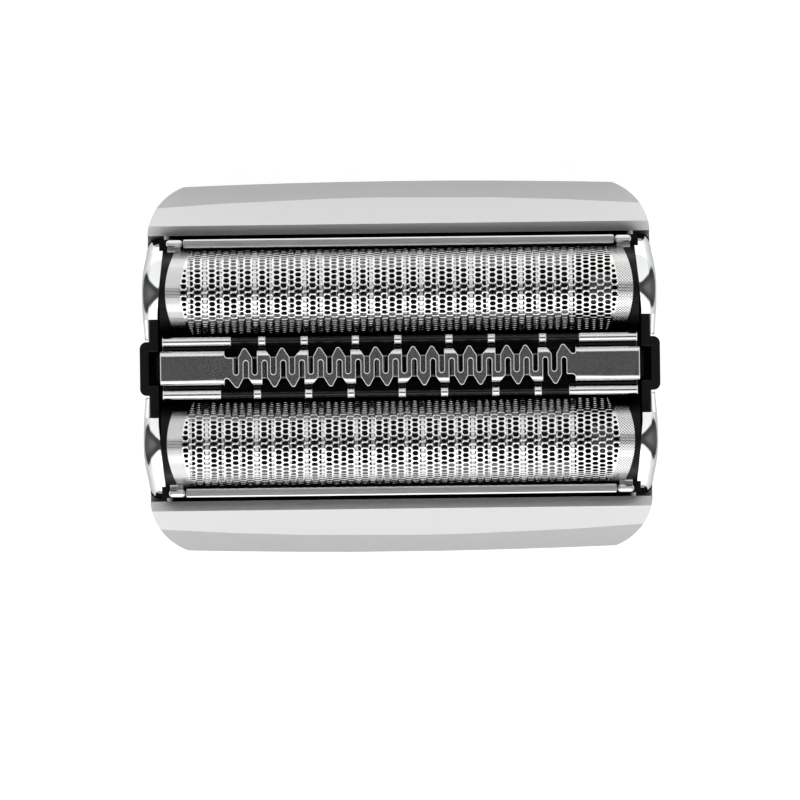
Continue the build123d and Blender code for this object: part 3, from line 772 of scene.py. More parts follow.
@dataclass(frozen=True)
class FoilFinish(Finish):
    """Bright nickel with fine dots etched into the borders at both ends of a foil.

    Attributes:
        centre_y: the middle of the foil across the head.
        reach: how far its feet stand from the middle.
        border: where the border starts over the crown.
        bow: how much nearer it starts at the feet.
        dot_pitch: the distance between dots.
        dot_size: a dot's radius, as a share of the pitch.
        dot_depth: how deep the dots are.
        dot_shade: how much darker they are.
        blur: over how much of the sheet the border sets in.
    """

    centre_y: float = 0.0
    reach: float = 1.0
    border: float = 1.0
    bow: float = 0.0
    dot_pitch: float = 0.26
    dot_size: float = 0.34
    dot_depth: float = 0.02
    dot_shade: float = 0.5
    blur: float = 0.1

    def tint(
        self, nodes: Nodes, grain: bpy.types.NodeSocket, speck: bpy.types.NodeSocket
    ) -> bpy.types.NodeSocket:
        """Colours the sheet, with its dots darker.

        Args:
            nodes: the material's nodes.
            grain: the fine mask.
            speck: the specks' mask.

        Returns:
            The colour's socket.
        """
        plain = super().tint(nodes, grain, speck)
        share = nodes.math("MULTIPLY", self.dots(nodes), self.dot_shade)
        return nodes.mix(share, plain, (0.02, 0.02, 0.02, 1.0))

    def dots(self, nodes: Nodes) -> bpy.types.NodeSocket:
        """Masks the dots, which lie only in the borders.

        Args:
            nodes: the material's nodes.

        Returns:
            The mask's socket.
        """
        dots = self.mask(nodes, dot_group(), Pitch=self.dot_pitch, Size=self.dot_size)
        axes = nodes.axes("Object")
        side = nodes.math("MULTIPLY_ADD", axes["Y"], 1 / (MM * self.reach), -self.centre_y / self.reach)
        out = nodes.math("MULTIPLY", nodes.math("ABSOLUTE", axes["X"]), 1 / MM)
        past = nodes.math("MULTIPLY_ADD", nodes.math("MULTIPLY", side, side), self.bow, out)
        border = nodes.span(past, self.border, self.border + self.blur, 0.0, 1.0)
        return nodes.math("MULTIPLY", dots, border)

    def surface(self, nodes: Nodes, grain: bpy.types.NodeSocket) -> bpy.types.NodeSocket:
        """Raises the grain, and sinks the dots of the borders.

        Args:
            nodes: the material's nodes.
            grain: the fine mask.

        Returns:
            The normal's socket.
        """
        sunk = nodes.math("MULTIPLY", self.dots(nodes), -1.0)
        etched = nodes.bump(sunk, self.dot_depth)
        return nodes.bump(grain, self.relief, Normal=etched)


@dataclass(frozen=True)
class CombFinish(Finish):
    """Satin steel with painted shade: its colour darkens deep down between the folds, where the folds
    shut the light out.

    Attributes:
        deep: the heights between which the painted shade fades out.
        left: the share of its colour that is left deep down.
    """

    deep: tuple[float, float] = (19.0, 19.5)
    left: float = 0.06

    def tint(
        self, nodes: Nodes, grain: bpy.types.NodeSocket, speck: bpy.types.NodeSocket
    ) -> bpy.types.NodeSocket:
        """Colours the steel, with painted shade deep down.

        Args:
            nodes: the material's nodes.
            grain: the fine mask.
            speck: the specks' mask.

        Returns:
            The colour's socket.
        """
        plain = super().tint(nodes, grain, speck)
        # Painted shade: below these heights the colour is darkened, standing in for the shade between
        # the folds.
        low, high = (level * MM for level in self.deep)
        share = nodes.span(nodes.axes("Object")["Z"], low, high, self.left, 1.0)
        return nodes.scaled(plain, share)


@dataclass(frozen=True)
class CapFinish(Finish):
    """Mirror chrome with a painted dark reflection, darker towards a cap's outer foot, along the cap's
    own map.

    Attributes:
        rim: where on the map it starts to darken and where it is darkest.
        left: the share of its colour that is left there.
    """

    rim: tuple[float, float] = (0.62, 0.9)
    left: float = 0.45

    def tint(
        self, nodes: Nodes, grain: bpy.types.NodeSocket, speck: bpy.types.NodeSocket
    ) -> bpy.types.NodeSocket:
        """Colours the chrome, with a painted dark reflection at its outer foot.

        Args:
            nodes: the material's nodes.
            grain: the fine mask.
            speck: the specks' mask.

        Returns:
            The colour's socket.
        """
        plain = super().tint(nodes, grain, speck)
        # Painted reflection: the chrome is darkened towards its outer foot, as if it mirrored something
        # dark there.
        share = nodes.span(nodes.axes("UV")["X"], *self.rim, 1.0, self.left)
        return nodes.scaled(plain, share)


SILVER_PAINT = Finish(
    "satin_silver_paint",
    Slot.SILVER,
    colour=(0.62, 0.62, 0.63),
    metallic=0.7,
    roughness=0.4,
    fineness=16.0,
    colour_swing=0.05,
    gloss_swing=0.05,
    relief=0.0006,
    specks=0.03,
)
# A darker copy of the silver paint for the lower flanks: painted shade, for how the light falls below
# the crease.
SHADED_SILVER_FLANK = replace(
    SILVER_PAINT, name="satin_silver_flank", colour=(0.36, 0.36, 0.37), roughness=0.42
)
# A brighter, non-metallic copy of the silver paint for the lip: painted light.
LIT_SILVER_LIP = replace(
    SILVER_PAINT, name="satin_silver_lip", colour=(0.92, 0.92, 0.93), metallic=0.0, roughness=0.42
)
SATIN_BLACK = Finish(
    "satin_black_moulding",
    Slot.BLACK,
    colour=(0.006, 0.006, 0.007),
    metallic=0.0,
    roughness=0.4,
    fineness=8.0,
    colour_swing=0.2,
    gloss_swing=0.06,
    relief=0.001,
    specks=0.0,
    specular=0.1,
)
BARE_BLACK = replace(SATIN_BLACK, name="bare_black_inside", slot=Slot.SILVER, roughness=0.6)
GLOSS_BLACK = Finish(
    "gloss_black_moulding",
    Slot.BLACK,
    colour=(0.01, 0.01, 0.011),
    metallic=0.0,
    roughness=0.22,
    fineness=5.0,
    colour_swing=0.2,
    gloss_swing=0.05,
    relief=0.0008,
    specks=0.01,
    specular=0.3,
)
# The caps' chrome, with a painted dark reflection at their outer feet.
MIRROR_CHROME = CapFinish(
    "mirror_chrome",
    Slot.CHROME,
    colour=(0.84, 0.85, 0.86),
    metallic=1.0,
    roughness=0.07,
    fineness=2.0,
    colour_swing=0.02,
    gloss_swing=0.02,
    relief=0.0002,
    specks=0.0,
)
SATIN_CHROME = Finish(
    "satin_chrome",
    Slot.CHROME,
    colour=(0.8, 0.8, 0.81),
    metallic=1.0,
    roughness=0.36,
    fineness=12.0,
    stretch=30.0,
    colour_swing=0.03,
    gloss_swing=0.03,
    relief=0.0002,
    specks=0.01,
)
# Comb steel, with painted shade deep down between its folds.
COMB_STEEL = CombFinish(
    "satin_comb_steel",
    Slot.COMB,
    colour=(0.72, 0.72, 0.73),
    metallic=1.0,
    roughness=0.2,
    fineness=12.0,
    colour_swing=0.1,
    gloss_swing=0.05,
    relief=0.0004,
    specks=0.12,
)
# A brighter, less metallic copy of the comb steel on its rims and folds: a painted highlight, with the
# painted shade deep down as well.
LIT_COMB_RIM = CombFinish(
    "ground_comb_rim",
    Slot.COMB,
    colour=(0.95, 0.95, 0.95),
    metallic=0.2,
    roughness=0.3,
    fineness=14.0,
    colour_swing=0.04,
    gloss_swing=0.05,
    relief=0.0003,
    specks=0.0,
)
GROUND_STEEL = Finish(
    "ground_blade_steel",
    Slot.BLADE,
    colour=(0.75, 0.75, 0.76),
    metallic=0.9,
    roughness=0.3,
    fineness=14.0,
    stretch=0.3,
    colour_swing=0.08,
    gloss_swing=0.06,
    relief=0.0006,
    specks=0.0,
)
# A darker copy of the blade steel for the moving blade under the comb: painted shade.
SHADED_TOOTH_STEEL = replace(
    GROUND_STEEL,
    name="tooth_blade_steel",
    colour=(0.3, 0.3, 0.31),
    metallic=1.0,
    roughness=0.24,
    gloss_swing=0.05,
    relief=0.0005,
)
SPRING_STEEL = Finish(
    "satin_spring_steel",
    Slot.SPRING,
    colour=(0.56, 0.56, 0.57),
    metallic=1.0,
    roughness=0.3,
    fineness=8.0,
    stretch=4.0,
    colour_swing=0.06,
    gloss_swing=0.05,
    relief=0.0006,
    specks=0.0,
)


def complete(
    piece: bpy.types.Object, body: str, finish: Finish, replaced: str | None = None
) -> bpy.types.Object:
    """Finishes a new piece: metres, material and body, and hides the node that it stands for.

    Args:
        piece: the modelled piece, in millimetres.
        body: the body that it moves with.
        finish: its finish.
        replaced: the node that it stands for, if any.

    Returns:
        The same piece.
    """
    to_frame(piece)
    piece.data.materials.append(finish.material())
    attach(piece, body)
    if replaced:
        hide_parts(replaced)
    piece.data.calc_loop_triangles()
    count = len(piece.data.loop_triangles)
    LOG.info("%s: %d triangles, on %s, in %s", piece.name, count, body, finish.name)
    return piece


def dress(node: bpy.types.Object, finish: Finish) -> None:
    """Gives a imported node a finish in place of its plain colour.

    Args:
        node: the node's object.
        finish: its finish.
    """
    if not node.material_slots:
        node.data.materials.append(None)
    for place in node.material_slots:
        place.material = finish.material()
    LOG.info("%s keeps its solid, in %s", node.name, finish.name)


# Sub-assemblies


@dataclass
class Base:
    """The housing with the chassis and the springs in it.

    Attributes:
        edge: how far the housing's edges are rounded.
        moulding_edge: the same for the chassis.
        spring_edge: the same for the springs.
        spring_foot_z: the height of the plate that the springs stand on; not used.
        unit_keep: the share of a unit spring's height that is left at the joint's limit; not used.
        trimmer_keep: the same for a trimmer spring; not used.
        ledge: how far out, along and across the head, the corners of the chassis's ledges lie.
        ledge_corner: the radius of those corners.
        inwards: how strongly an inner face looks towards the head's middle.
        painted_tilt: how far upwards an inner face must look to be painted.
        crease_z: the height of the crease under which the flanks take a darker copy of the paint, as
            painted shade.
    """

    edge: float = 0.22
    moulding_edge: float = 0.14
    spring_edge: float = 0.05
    spring_foot_z: float = 7.2
    unit_keep: float = 0.654
    trimmer_keep: float = 0.741
    ledge: tuple[float, float] = (21.8, 11.1)
    ledge_corner: float = 0.6
    inwards: float = 0.5
    painted_tilt: float = 0.45
    crease_z: float = 8.5

    def build(self, nodes: dict[str, bpy.types.Object]) -> None:
        """Makes the shell, the chassis and the six springs.

        Args:
            nodes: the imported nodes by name.
        """
        self.shell(nodes["housing"])
        self.moulding(nodes["chassis"])
        for end in End:
            for side in Side:
                self.spring(nodes, f"{side.word}_{end.word}_spring")
            self.spring(nodes, f"trimmer_{end.word}_spring")

    def moulding(self, node: bpy.types.Object) -> None:
        """Makes the chassis, with the corners of its ledges rounded in plan.

        Args:
            node: the chassis's node.
        """
        moulding = merged_copy(node, "chassis_moulding")
        out, across = self.ledge

        def at_corner(edge: bmesh.types.BMEdge) -> bool:
            """Says whether an edge is an upright one at a ledge's corner.

            Args:
                edge: an edge of the chassis.

            Returns:
                True where it is rounded in plan.
            """
            first, last = (point.co for point in edge.verts)
            upright = abs(first.x - last.x) + abs(first.y - last.y) < 0.01
            return upright and abs(first.x) > out and abs(first.y) > across

        with editing(moulding):
            pick_edges(moulding, at_corner)
            bpy.ops.mesh.bevel(offset=self.ledge_corner, segments=5)
        round_edges(moulding, self.moulding_edge, 2, 25.0)
        complete(moulding, "housing", GLOSS_BLACK, "chassis")

    def shell(self, node: bpy.types.Object) -> None:
        """Makes the housing: its slopes painted, its lip in a brighter copy of the paint as painted
        light, its flanks in a darker copy as painted shade, and bare inside.

        Args:
            node: the housing's node.
        """
        shell = merged_copy(node, "housing_shell")
        round_edges(shell, self.edge, 3, 18.0, 9.0)
        for face in shell.data.polygons:
            face.material_index = self.coat(shell, face)
        complete(shell, "housing", SILVER_PAINT, "housing")
        for finish in (BARE_BLACK, SHADED_SILVER_FLANK, LIT_SILVER_LIP):
            shell.data.materials.append(finish.material())

    def coat(self, shell: bpy.types.Object, face: bpy.types.MeshPolygon) -> Coat:
        """Says which coat a face of the housing has.

        Args:
            shell: the housing.
            face: one of its faces.

        Returns:
            The face's coat.
        """
        lean = min(face.normal.y * face.center.y, face.normal.x * face.center.x)
        if lean < -self.inwards:
            # Upward-looking inner faces take the lip's brighter copy of the paint, as painted light.
            return Coat.INSIDE if face.normal.z < self.painted_tilt else Coat.LIP
        lowest = min(shell.data.vertices[index].co.z for index in face.vertices)
        # Below the crease the faces take the darker copy of the paint, as painted shade.
        return Coat.FLANK if lowest < self.crease_z else Coat.SLOPE

    def spring(self, nodes: dict[str, bpy.types.Object], name: str) -> None:
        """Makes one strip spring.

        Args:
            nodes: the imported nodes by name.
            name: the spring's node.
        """
        strip = merged_copy(nodes[name], f"{name}_strip")
        round_edges(strip, self.spring_edge, 2, 25.0)
        complete(strip, "housing", SPRING_STEEL, name)
        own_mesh(strip)


@dataclass
class Arch:
    """The round crown and straight legs that a foil and its caps follow.

    Attributes:
        side: which of the two foils it is.
        leg_angle: how steep the straight legs stand, in degrees.
    """

    side: Side
    leg_angle: float = 72.0

    def __post_init__(self) -> None:
        """Works out the arch from the foil's solid."""
        low, high = (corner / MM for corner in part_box(f"{self.side.word}_foil"))
        self.leg = math.radians(self.leg_angle)
        self.centre_y = (low.y + high.y) / 2
        self.half_length = high.x
        self.reach = (high.y - low.y) / 2
        height = high.z - low.z
        cross = math.sin(self.leg) - (1 - math.cos(self.leg)) / math.tan(self.leg)
        self.radius = (self.reach - height / math.tan(self.leg)) / cross
        self.centre_z = high.z - self.radius
        leg_run = (self.centre_z + self.radius * math.cos(self.leg) - low.z) / math.sin(self.leg)
        self.half_arc = self.radius * self.leg + leg_run

    def point(self, arc: float) -> tuple[float, float]:
        """Gives the place across the head and the height at a run along the arc.

        Args:
            arc: the run from the crown, towards the rear where it is positive.

        Returns:
            The place and the height.
        """
        round_part = self.radius * self.leg
        held = max(-round_part, min(round_part, arc))
        past = arc - held
        angle = held / self.radius
        y = self.centre_y + self.radius * math.sin(angle) + past * math.cos(self.leg)
        z = self.centre_z + self.radius * math.cos(angle) - abs(past) * math.sin(self.leg)
        return y, z

    def height(self, y: float, inset: float) -> float:
        """Gives the height over a place across the head, for an arch moved inwards.

        Args:
            y: the place.
            inset: how far the arch is moved inwards.

        Returns:
            The height.
        """
        radius = self.radius - inset
        off = abs(y - self.centre_y)
        turn = radius * math.sin(self.leg)
        if off < turn:
            return self.centre_z + math.sqrt(radius**2 - off**2)
        return self.centre_z + radius * math.cos(self.leg) - (off - turn) * math.tan(self.leg)


@dataclass
class FoilSheet:
    """One perforated foil: a thin sheet with staggered holes, wrapped over its arch.

    Attributes:
        arch: the form that it follows.
        thickness: the sheet's thickness.
        end_bow: how much shorter it is at its feet than over the crown.
        column_pitch: the distance between columns of holes.
        half_rows: half rows of holes from foot to foot.
        columns: columns from end to end, the plain ones too.
        plain_feet: half rows without holes at each foot.
        plain_end: the border without holes at each end.
        hole: the holes' length and height.
        shoulder: where a hole starts to narrow, as a share of its length.
        corner: how far a hole's corners are rounded.
        least_room: how little of a hole's half length may fit beside the border.
        least_size: the smallest that such a hole gets, as a share of a whole one.
        dimple: how deep a hole's edge is pressed in.
    """

    arch: Arch
    thickness: float = 0.07
    end_bow: float = 0.95
    column_pitch: float = 0.627
    half_rows: int = 50
    columns: int = 65
    plain_feet: int = 1
    plain_end: float = 1.35
    hole: tuple[float, float] = (0.58, 0.41)
    shoulder: float = 0.58
    corner: float = 0.05
    least_room: float = -0.08
    least_size: float = 0.3
    dimple: float = 0.03

    def build(self) -> bpy.types.Object:
        """Makes the sheet.

        Returns:
            The finished foil.
        """
        word = self.arch.side.word
        flat = self.flat_sheet(f"{word}_foil_sheet")
        self.punch(flat)
        self.write_map(flat)
        place_points(flat, self.wrapped)
        wall = flat.modifiers.new("wall", "SOLIDIFY")
        wall.thickness = self.thickness
        wall.offset = -1
        apply_all(flat)
        smooth(flat, 40.0)
        finish = FoilFinish(
            f"{word}_nickel_foil",
            Slot.NICKEL,
            colour=(0.85, 0.84, 0.83),
            metallic=1.0,
            roughness=0.14,
            fineness=14.0,
            gloss_swing=0.04,
            relief=0.0003,
            centre_y=self.arch.centre_y,
            reach=self.arch.reach,
            border=self.arch.half_length - self.plain_end,
            bow=self.end_bow,
        )
        return complete(flat, f"{word}_unit", finish, f"{word}_foil")

    def flat_sheet(self, name: str) -> bpy.types.Object:
        """Makes the unrolled sheet as a grid of half cells.

        Args:
            name: the sheet's name.

        Returns:
            The grid, X along the foil and Y along the arc.
        """
        only(None)
        across = self.half_rows
        bpy.ops.mesh.primitive_grid_add(x_subdivisions=self.columns, y_subdivisions=across, size=1)
        sheet = bpy.context.object
        sheet.name = name
        size = (self.columns * self.column_pitch, 2 * self.arch.half_arc, 1, 1)
        sheet.data.transform(Matrix.Diagonal(size))
        return sheet

    def end_at(self, arc: float) -> float:
        """Gives the sheet's half length at a place along its arc."""
        share = (self.arch.point(arc)[0] - self.arch.centre_y) / self.arch.reach
        return self.arch.half_length - self.end_bow * share**2

    def room(self, column: int, half_row: int) -> float:
        """Gives how much of a hole's half length fits beside the border.

        Args:
            column: the column, counted from the left.
            half_row: the half row that the hole's lower half lies in.

        Returns:
            From its half length, for a whole hole, down to below nought, for none.
        """
        if (half_row - column % 2) % 2 or half_row < self.plain_feet:
            return -1.0
        if half_row + 2 > self.half_rows - self.plain_feet:
            return -1.0
        arc = (half_row + 1) * 2 * self.arch.half_arc / self.half_rows - self.arch.half_arc
        middle = abs(column + 0.5 - self.columns / 2) * self.column_pitch
        return min(self.hole[0] / 2, self.end_at(arc) - self.plain_end - middle)

    def punch(self, sheet: bpy.types.Object) -> None:
        """Cuts the holes: half cells joined in pairs, inset, shaped, rounded and opened.

        Args:
            sheet: the unrolled sheet.
        """
        step = 2 * self.arch.half_arc / self.half_rows
        width = self.columns * self.column_pitch

        def between_halves(edge: bmesh.types.BMEdge) -> bool:
            """Says whether an edge lies between the two halves of a hole.

            Args:
                edge: an edge of the grid.

            Returns:
                True where the two half cells become one.
            """
            if abs(edge.verts[0].co.y - edge.verts[1].co.y) > 1e-4:
                return False
            middle = (edge.verts[0].co + edge.verts[1].co) / 2
            column = math.floor((middle.x + width / 2) / self.column_pitch)
            lower_half = round((middle.y + self.arch.half_arc) / step) - 1
            return self.room(column, lower_half) > self.least_room

        with editing(sheet):
            pick_edges(sheet, between_halves)
            bpy.ops.mesh.dissolve_edges(use_verts=False)
            pick_faces(sheet, lambda face: len(face.verts) == 6)
            bpy.ops.mesh.inset(thickness=self.column_pitch / 8, use_individual=True)
            self.shape_holes(sheet)
            bpy.ops.mesh.select_mode(type="VERT")
            bpy.ops.mesh.bevel(affect="VERTICES", offset=self.corner, segments=1)
            pick_faces(sheet, lambda face: len(face.verts) > 8)
            bpy.ops.mesh.delete(type="FACE")

    def shape_holes(self, sheet: bpy.types.Object) -> None:
        """Gives every inset face the hole's form, smaller where the border cuts into it.

        Args:
            sheet: the sheet in edit mode, with the inset faces selected.
        """
        shape = bmesh.from_edit_mesh(sheet.data)
        for face in shape.faces:
            if not face.select:
                continue
            middle = face.calc_center_bounds()
            full = self.hole[0] / 2
            room = min(full, self.end_at(middle.y) - self.plain_end - abs(middle.x))
            size = max(self.least_size, (full + room) / (2 * full))
            moved = math.copysign(full * (1 - size), middle.x)
            shifted = Vector((middle.x - moved, middle.y, 0))
            for point in face.verts:
                off = point.co - middle
                x = math.copysign(full * size, off.x)
                y = math.copysign(self.hole[1] / 2 * math.sqrt(size), off.y)
                if abs(off.y) < 0.02:
                    point.co = shifted + Vector((x, 0, -self.dimple))
                else:
                    point.co = shifted + Vector((x * self.shoulder, y, -self.dimple))
        bmesh.update_edit_mesh(sheet.data)

    def write_map(self, sheet: bpy.types.Object) -> None:
        """Writes the sheet's own map, in millimetres along the foil and along the arc.

        Args:
            sheet: the unrolled sheet.
        """
        if not sheet.data.uv_layers:
            sheet.data.uv_layers.new(name="sheet")
        layer = sheet.data.uv_layers[0]
        for loop in sheet.data.loops:
            place = sheet.data.vertices[loop.vertex_index].co
            layer.data[loop.index].uv = (self.along(place), place.y)

    def along(self, place: Vector) -> float:
        """Gives where a point of the unrolled sheet lies along the foil, past its bowed ends.

        Args:
            place: the point on the unrolled sheet.

        Returns:
            Its place along the head.
        """
        end = self.end_at(place.y)
        plain = end - self.plain_end
        sheet_end = self.columns * self.column_pitch / 2
        x = abs(place.x)
        if x > plain:
            x = plain + (x - plain) * (end - plain) / (sheet_end - plain)
        return math.copysign(x, place.x)

    def wrapped(self, place: Vector) -> Vector:
        """Gives where a point of the unrolled sheet lies on the arch.

        Args:
            place: X along the foil, Y along the arc from the crown, Z outwards.

        Returns:
            The point in the head's own frame.
        """
        y, z = self.arch.point(place.y)
        tilt = max(-self.arch.leg, min(self.arch.leg, place.y / self.arch.radius))
        raised = Vector((0, math.sin(tilt), math.cos(tilt))) * place.z
        return Vector((self.along(place), y, z)) + raised


@dataclass
class Cap:
    """One end cap: the arch runs on outwards and falls away in a dome.

    Attributes:
        arch: the arch of its unit.
        end: the end that it closes.
        set_back: how far its crown lies under the foil's.
        fall: how far the dome has fallen at its outer side.
        lead: how far before the crown's inner edge the dome starts to fall.
        inner: where its inner edge runs along the head, at its middle and at its outer corner.
        inner_turn: how far from the head's middle the inner edge starts to slant.
        corner: how far its outer corner's curve reaches, along and across the head.
        bow: how much its flank bows, towards the outer corner and towards the post.
        lip: the radius between its dome and its flank.
        lip_share: the most of its width that this radius takes up.
        eave: the radius between its inner side and its dome.
        least_width: its least width along the head.
        hair: a gap that keeps two points apart.
        wing: how far from the head's middle its body starts, and where its sliver does.
        sliver_x: where the sliver beside the wing starts along the head.
        columns: how many columns of faces it has across the head.
        sliver_columns: how many of them the sliver beside the wing has.
        crowding: how strongly the columns crowd towards its outer corner.
        eave_rows: how many rows of faces lie before its dome, the inner side with them.
        dome_rows: how many rows its dome has.
        lip_rows: how many rows the radius to its flank has.
        soft_tilt: the tilt in degrees that the dome's shading nears and never passes.
        soft_from: how far upwards a face must look to be shaded so in full.
    """

    arch: Arch
    end: End
    set_back: float = 0.05
    fall: float = 1.2
    lead: float = 0.2
    inner: tuple[float, float] = (21.08, 20.48)
    inner_turn: float = 5.0
    corner: tuple[float, float] = (1.15, 1.5)
    bow: tuple[float, float] = (0.4, 0.2)
    lip: float = 0.5
    lip_share: float = 0.45
    eave: float = 0.06
    least_width: float = 0.05
    hair: float = 0.01
    wing: tuple[float, float] = (4.3, 2.5)
    sliver_x: float = 21.95
    columns: int = 72
    sliver_columns: int = 8
    crowding: float = 0.6
    eave_rows: int = 3
    dome_rows: int = 9
    lip_rows: int = 3
    soft_tilt: float = 52.0
    soft_from: float = 0.2

    def build(self) -> bpy.types.Object:
        """Makes the cap in the box of its solid.

        Returns:
            The finished cap.
        """
        name = f"{self.arch.side.word}_{self.end.word}_cap"
        low, high = (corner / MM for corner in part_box(name))
        self.base = low.z
        self.edge = max(abs(low.y), abs(high.y))
        self.out = max(abs(low.x), abs(high.x))
        only(None)
        rows, columns = self.rows(), self.columns
        bpy.ops.mesh.primitive_grid_add(x_subdivisions=rows, y_subdivisions=columns, size=1)
        piece = bpy.context.object
        piece.name = f"{name}_shell"
        corner = Vector((0.5, 0.5, 0))
        counts = Vector((rows, columns, 0))
        place_points(piece, lambda place: self.placed(*((place + corner) * counts).xy))
        with editing(piece):
            bpy.ops.mesh.select_mode(type="EDGE")
            bpy.ops.mesh.select_all(action="SELECT")
            bpy.ops.mesh.region_to_loop()
            bpy.ops.mesh.edge_face_add()
            bpy.ops.mesh.select_all(action="SELECT")
            bpy.ops.mesh.remove_doubles(threshold=MERGE)
            bpy.ops.mesh.normals_make_consistent(inside=False)
        smooth(piece, 50.0, flats=True)
        self.soften(piece)
        return complete(piece, f"{self.arch.side.word}_unit", MIRROR_CHROME, name)

    def rows(self) -> int:
        """Gives how many rows of faces it has, with the flank below the radius."""
        return self.eave_rows + self.dome_rows + self.lip_rows + 1

    def soften(self, piece: bpy.types.Object) -> None:
        """Shades the dome as if its steepest parts were rounder.

        Args:
            piece: the cap.
        """
        limit = math.radians(self.soft_tilt)
        turned = []
        for corner in piece.data.corner_normals:
            normal = corner.vector.copy()
            share = min(1.0, max(0.0, normal.z / self.soft_from))
            steep = math.acos(min(1.0, max(-1.0, normal.z)))
            tilt = steep + share * (limit * math.tanh(steep / limit) - steep)
            flat = Vector((normal.x, normal.y)).normalized() * math.sin(tilt)
            turned.append(Vector((flat.x, flat.y, math.cos(tilt))))
        piece.data.normals_split_custom_set(turned)

    def inner_x(self, y: float) -> float:
        """Gives where the cap starts along the head.

        Args:
            y: the place across the head, from its middle outwards.

        Returns:
            The place along the head.
        """
        if y < self.wing[0]:
            return self.sliver_x
        slant = (self.inner[0] - self.inner[1]) / (self.edge - self.inner_turn)
        return self.inner[0] - slant * max(0.0, y - self.inner_turn)

    def outer_x(self, y: float) -> float:
        """Gives where the cap ends along the head.

        Args:
            y: the place across the head, from its middle outwards.

        Returns:
            The place along the head.
        """
        turn = self.edge - self.corner[1]
        flank = self.out - self.bow[0]
        if y > turn:
            share = min(1.0, (y - turn) / self.corner[1])
            return flank - self.corner[0] * (1 - math.sqrt(1 - share**2))
        middle = abs(self.arch.centre_y)
        if y > middle:
            return self.out - self.bow[0] * ((y - middle) / (turn - middle)) ** 2
        return self.out - self.bow[1] * ((middle - y) / (middle - self.wing[1])) ** 2

    def dome(self, x: float, y: float) -> float:
        """Gives the dome's height at a place.

        Args:
            x: the place along the head, from its middle outwards.
            y: the place across it, from its middle outwards.

        Returns:
            The height.
        """
        start = self.inner[0] - self.lead
        share = max(0.0, x - start) / (self.out - start)
        height = self.arch.height(y * self.arch.side.value, self.set_back + self.fall * share**2)
        return max(self.base + self.hair, height)

    def placed(self, row_run: float, column_run: float) -> Vector:
        """Gives the place of one point of the grid that the cap is made from.

        Args:
            row_run: its row, from the foot of the inner side over the dome to the flank's foot.
            column_run: its column, counted from the post's side.

        Returns:
            The point in the head's own frame.
        """
        row = round(row_run)
        y, ground = self.column_y(round(column_run))
        inner = self.inner_x(y)
        outer = max(inner + self.least_width, self.outer_x(y))
        lip = min(self.lip, (outer - inner) * self.lip_share)
        start = inner + self.eave
        last = self.eave_rows + self.dome_rows
        x, z = outer, self.base
        if row == 0:
            x, z = inner, self.base
        elif row == 1:
            x, z = inner, self.dome(inner, y) - self.eave
        elif row < self.eave_rows:
            x, z = inner + self.eave / 3, self.dome(inner, y) - self.eave / 4
        elif row <= last:
            x = start + (outer - lip - start) * (row - self.eave_rows) / self.dome_rows
            z = self.dome(x, y)
        elif row < self.rows():
            angle = QUARTER * (row - last) / self.lip_rows
            x = outer - lip + lip * math.sin(angle)
            z = self.dome(x, y) - lip * (1 - math.cos(angle))
        z = self.base if ground else max(z, self.base)
        return Vector((x * self.end.value, y * self.arch.side.value, z))

    def column_y(self, column: int) -> tuple[float, bool]:
        """Gives a column's place across the head, and whether it is a closing one on the ground.

        Args:
            column: the column, counted from the post's side.

        Returns:
            The place, and whether it lies on the ground.
        """
        first, last = self.wing[1], self.edge - self.hair
        sliver = self.sliver_columns
        if column in (0, self.columns):
            return (first if column == 0 else last), True
        if column <= sliver:
            end = self.wing[0] - self.hair
            return first + (end - first) * (column - 1) / (sliver - 1), False
        share = (column - sliver - 1) / (self.columns - sliver - 2)
        crowded = (1 - self.crowding) * share + self.crowding * math.sin(share * QUARTER)
        return self.wing[0] + (last - self.wing[0]) * crowded, False


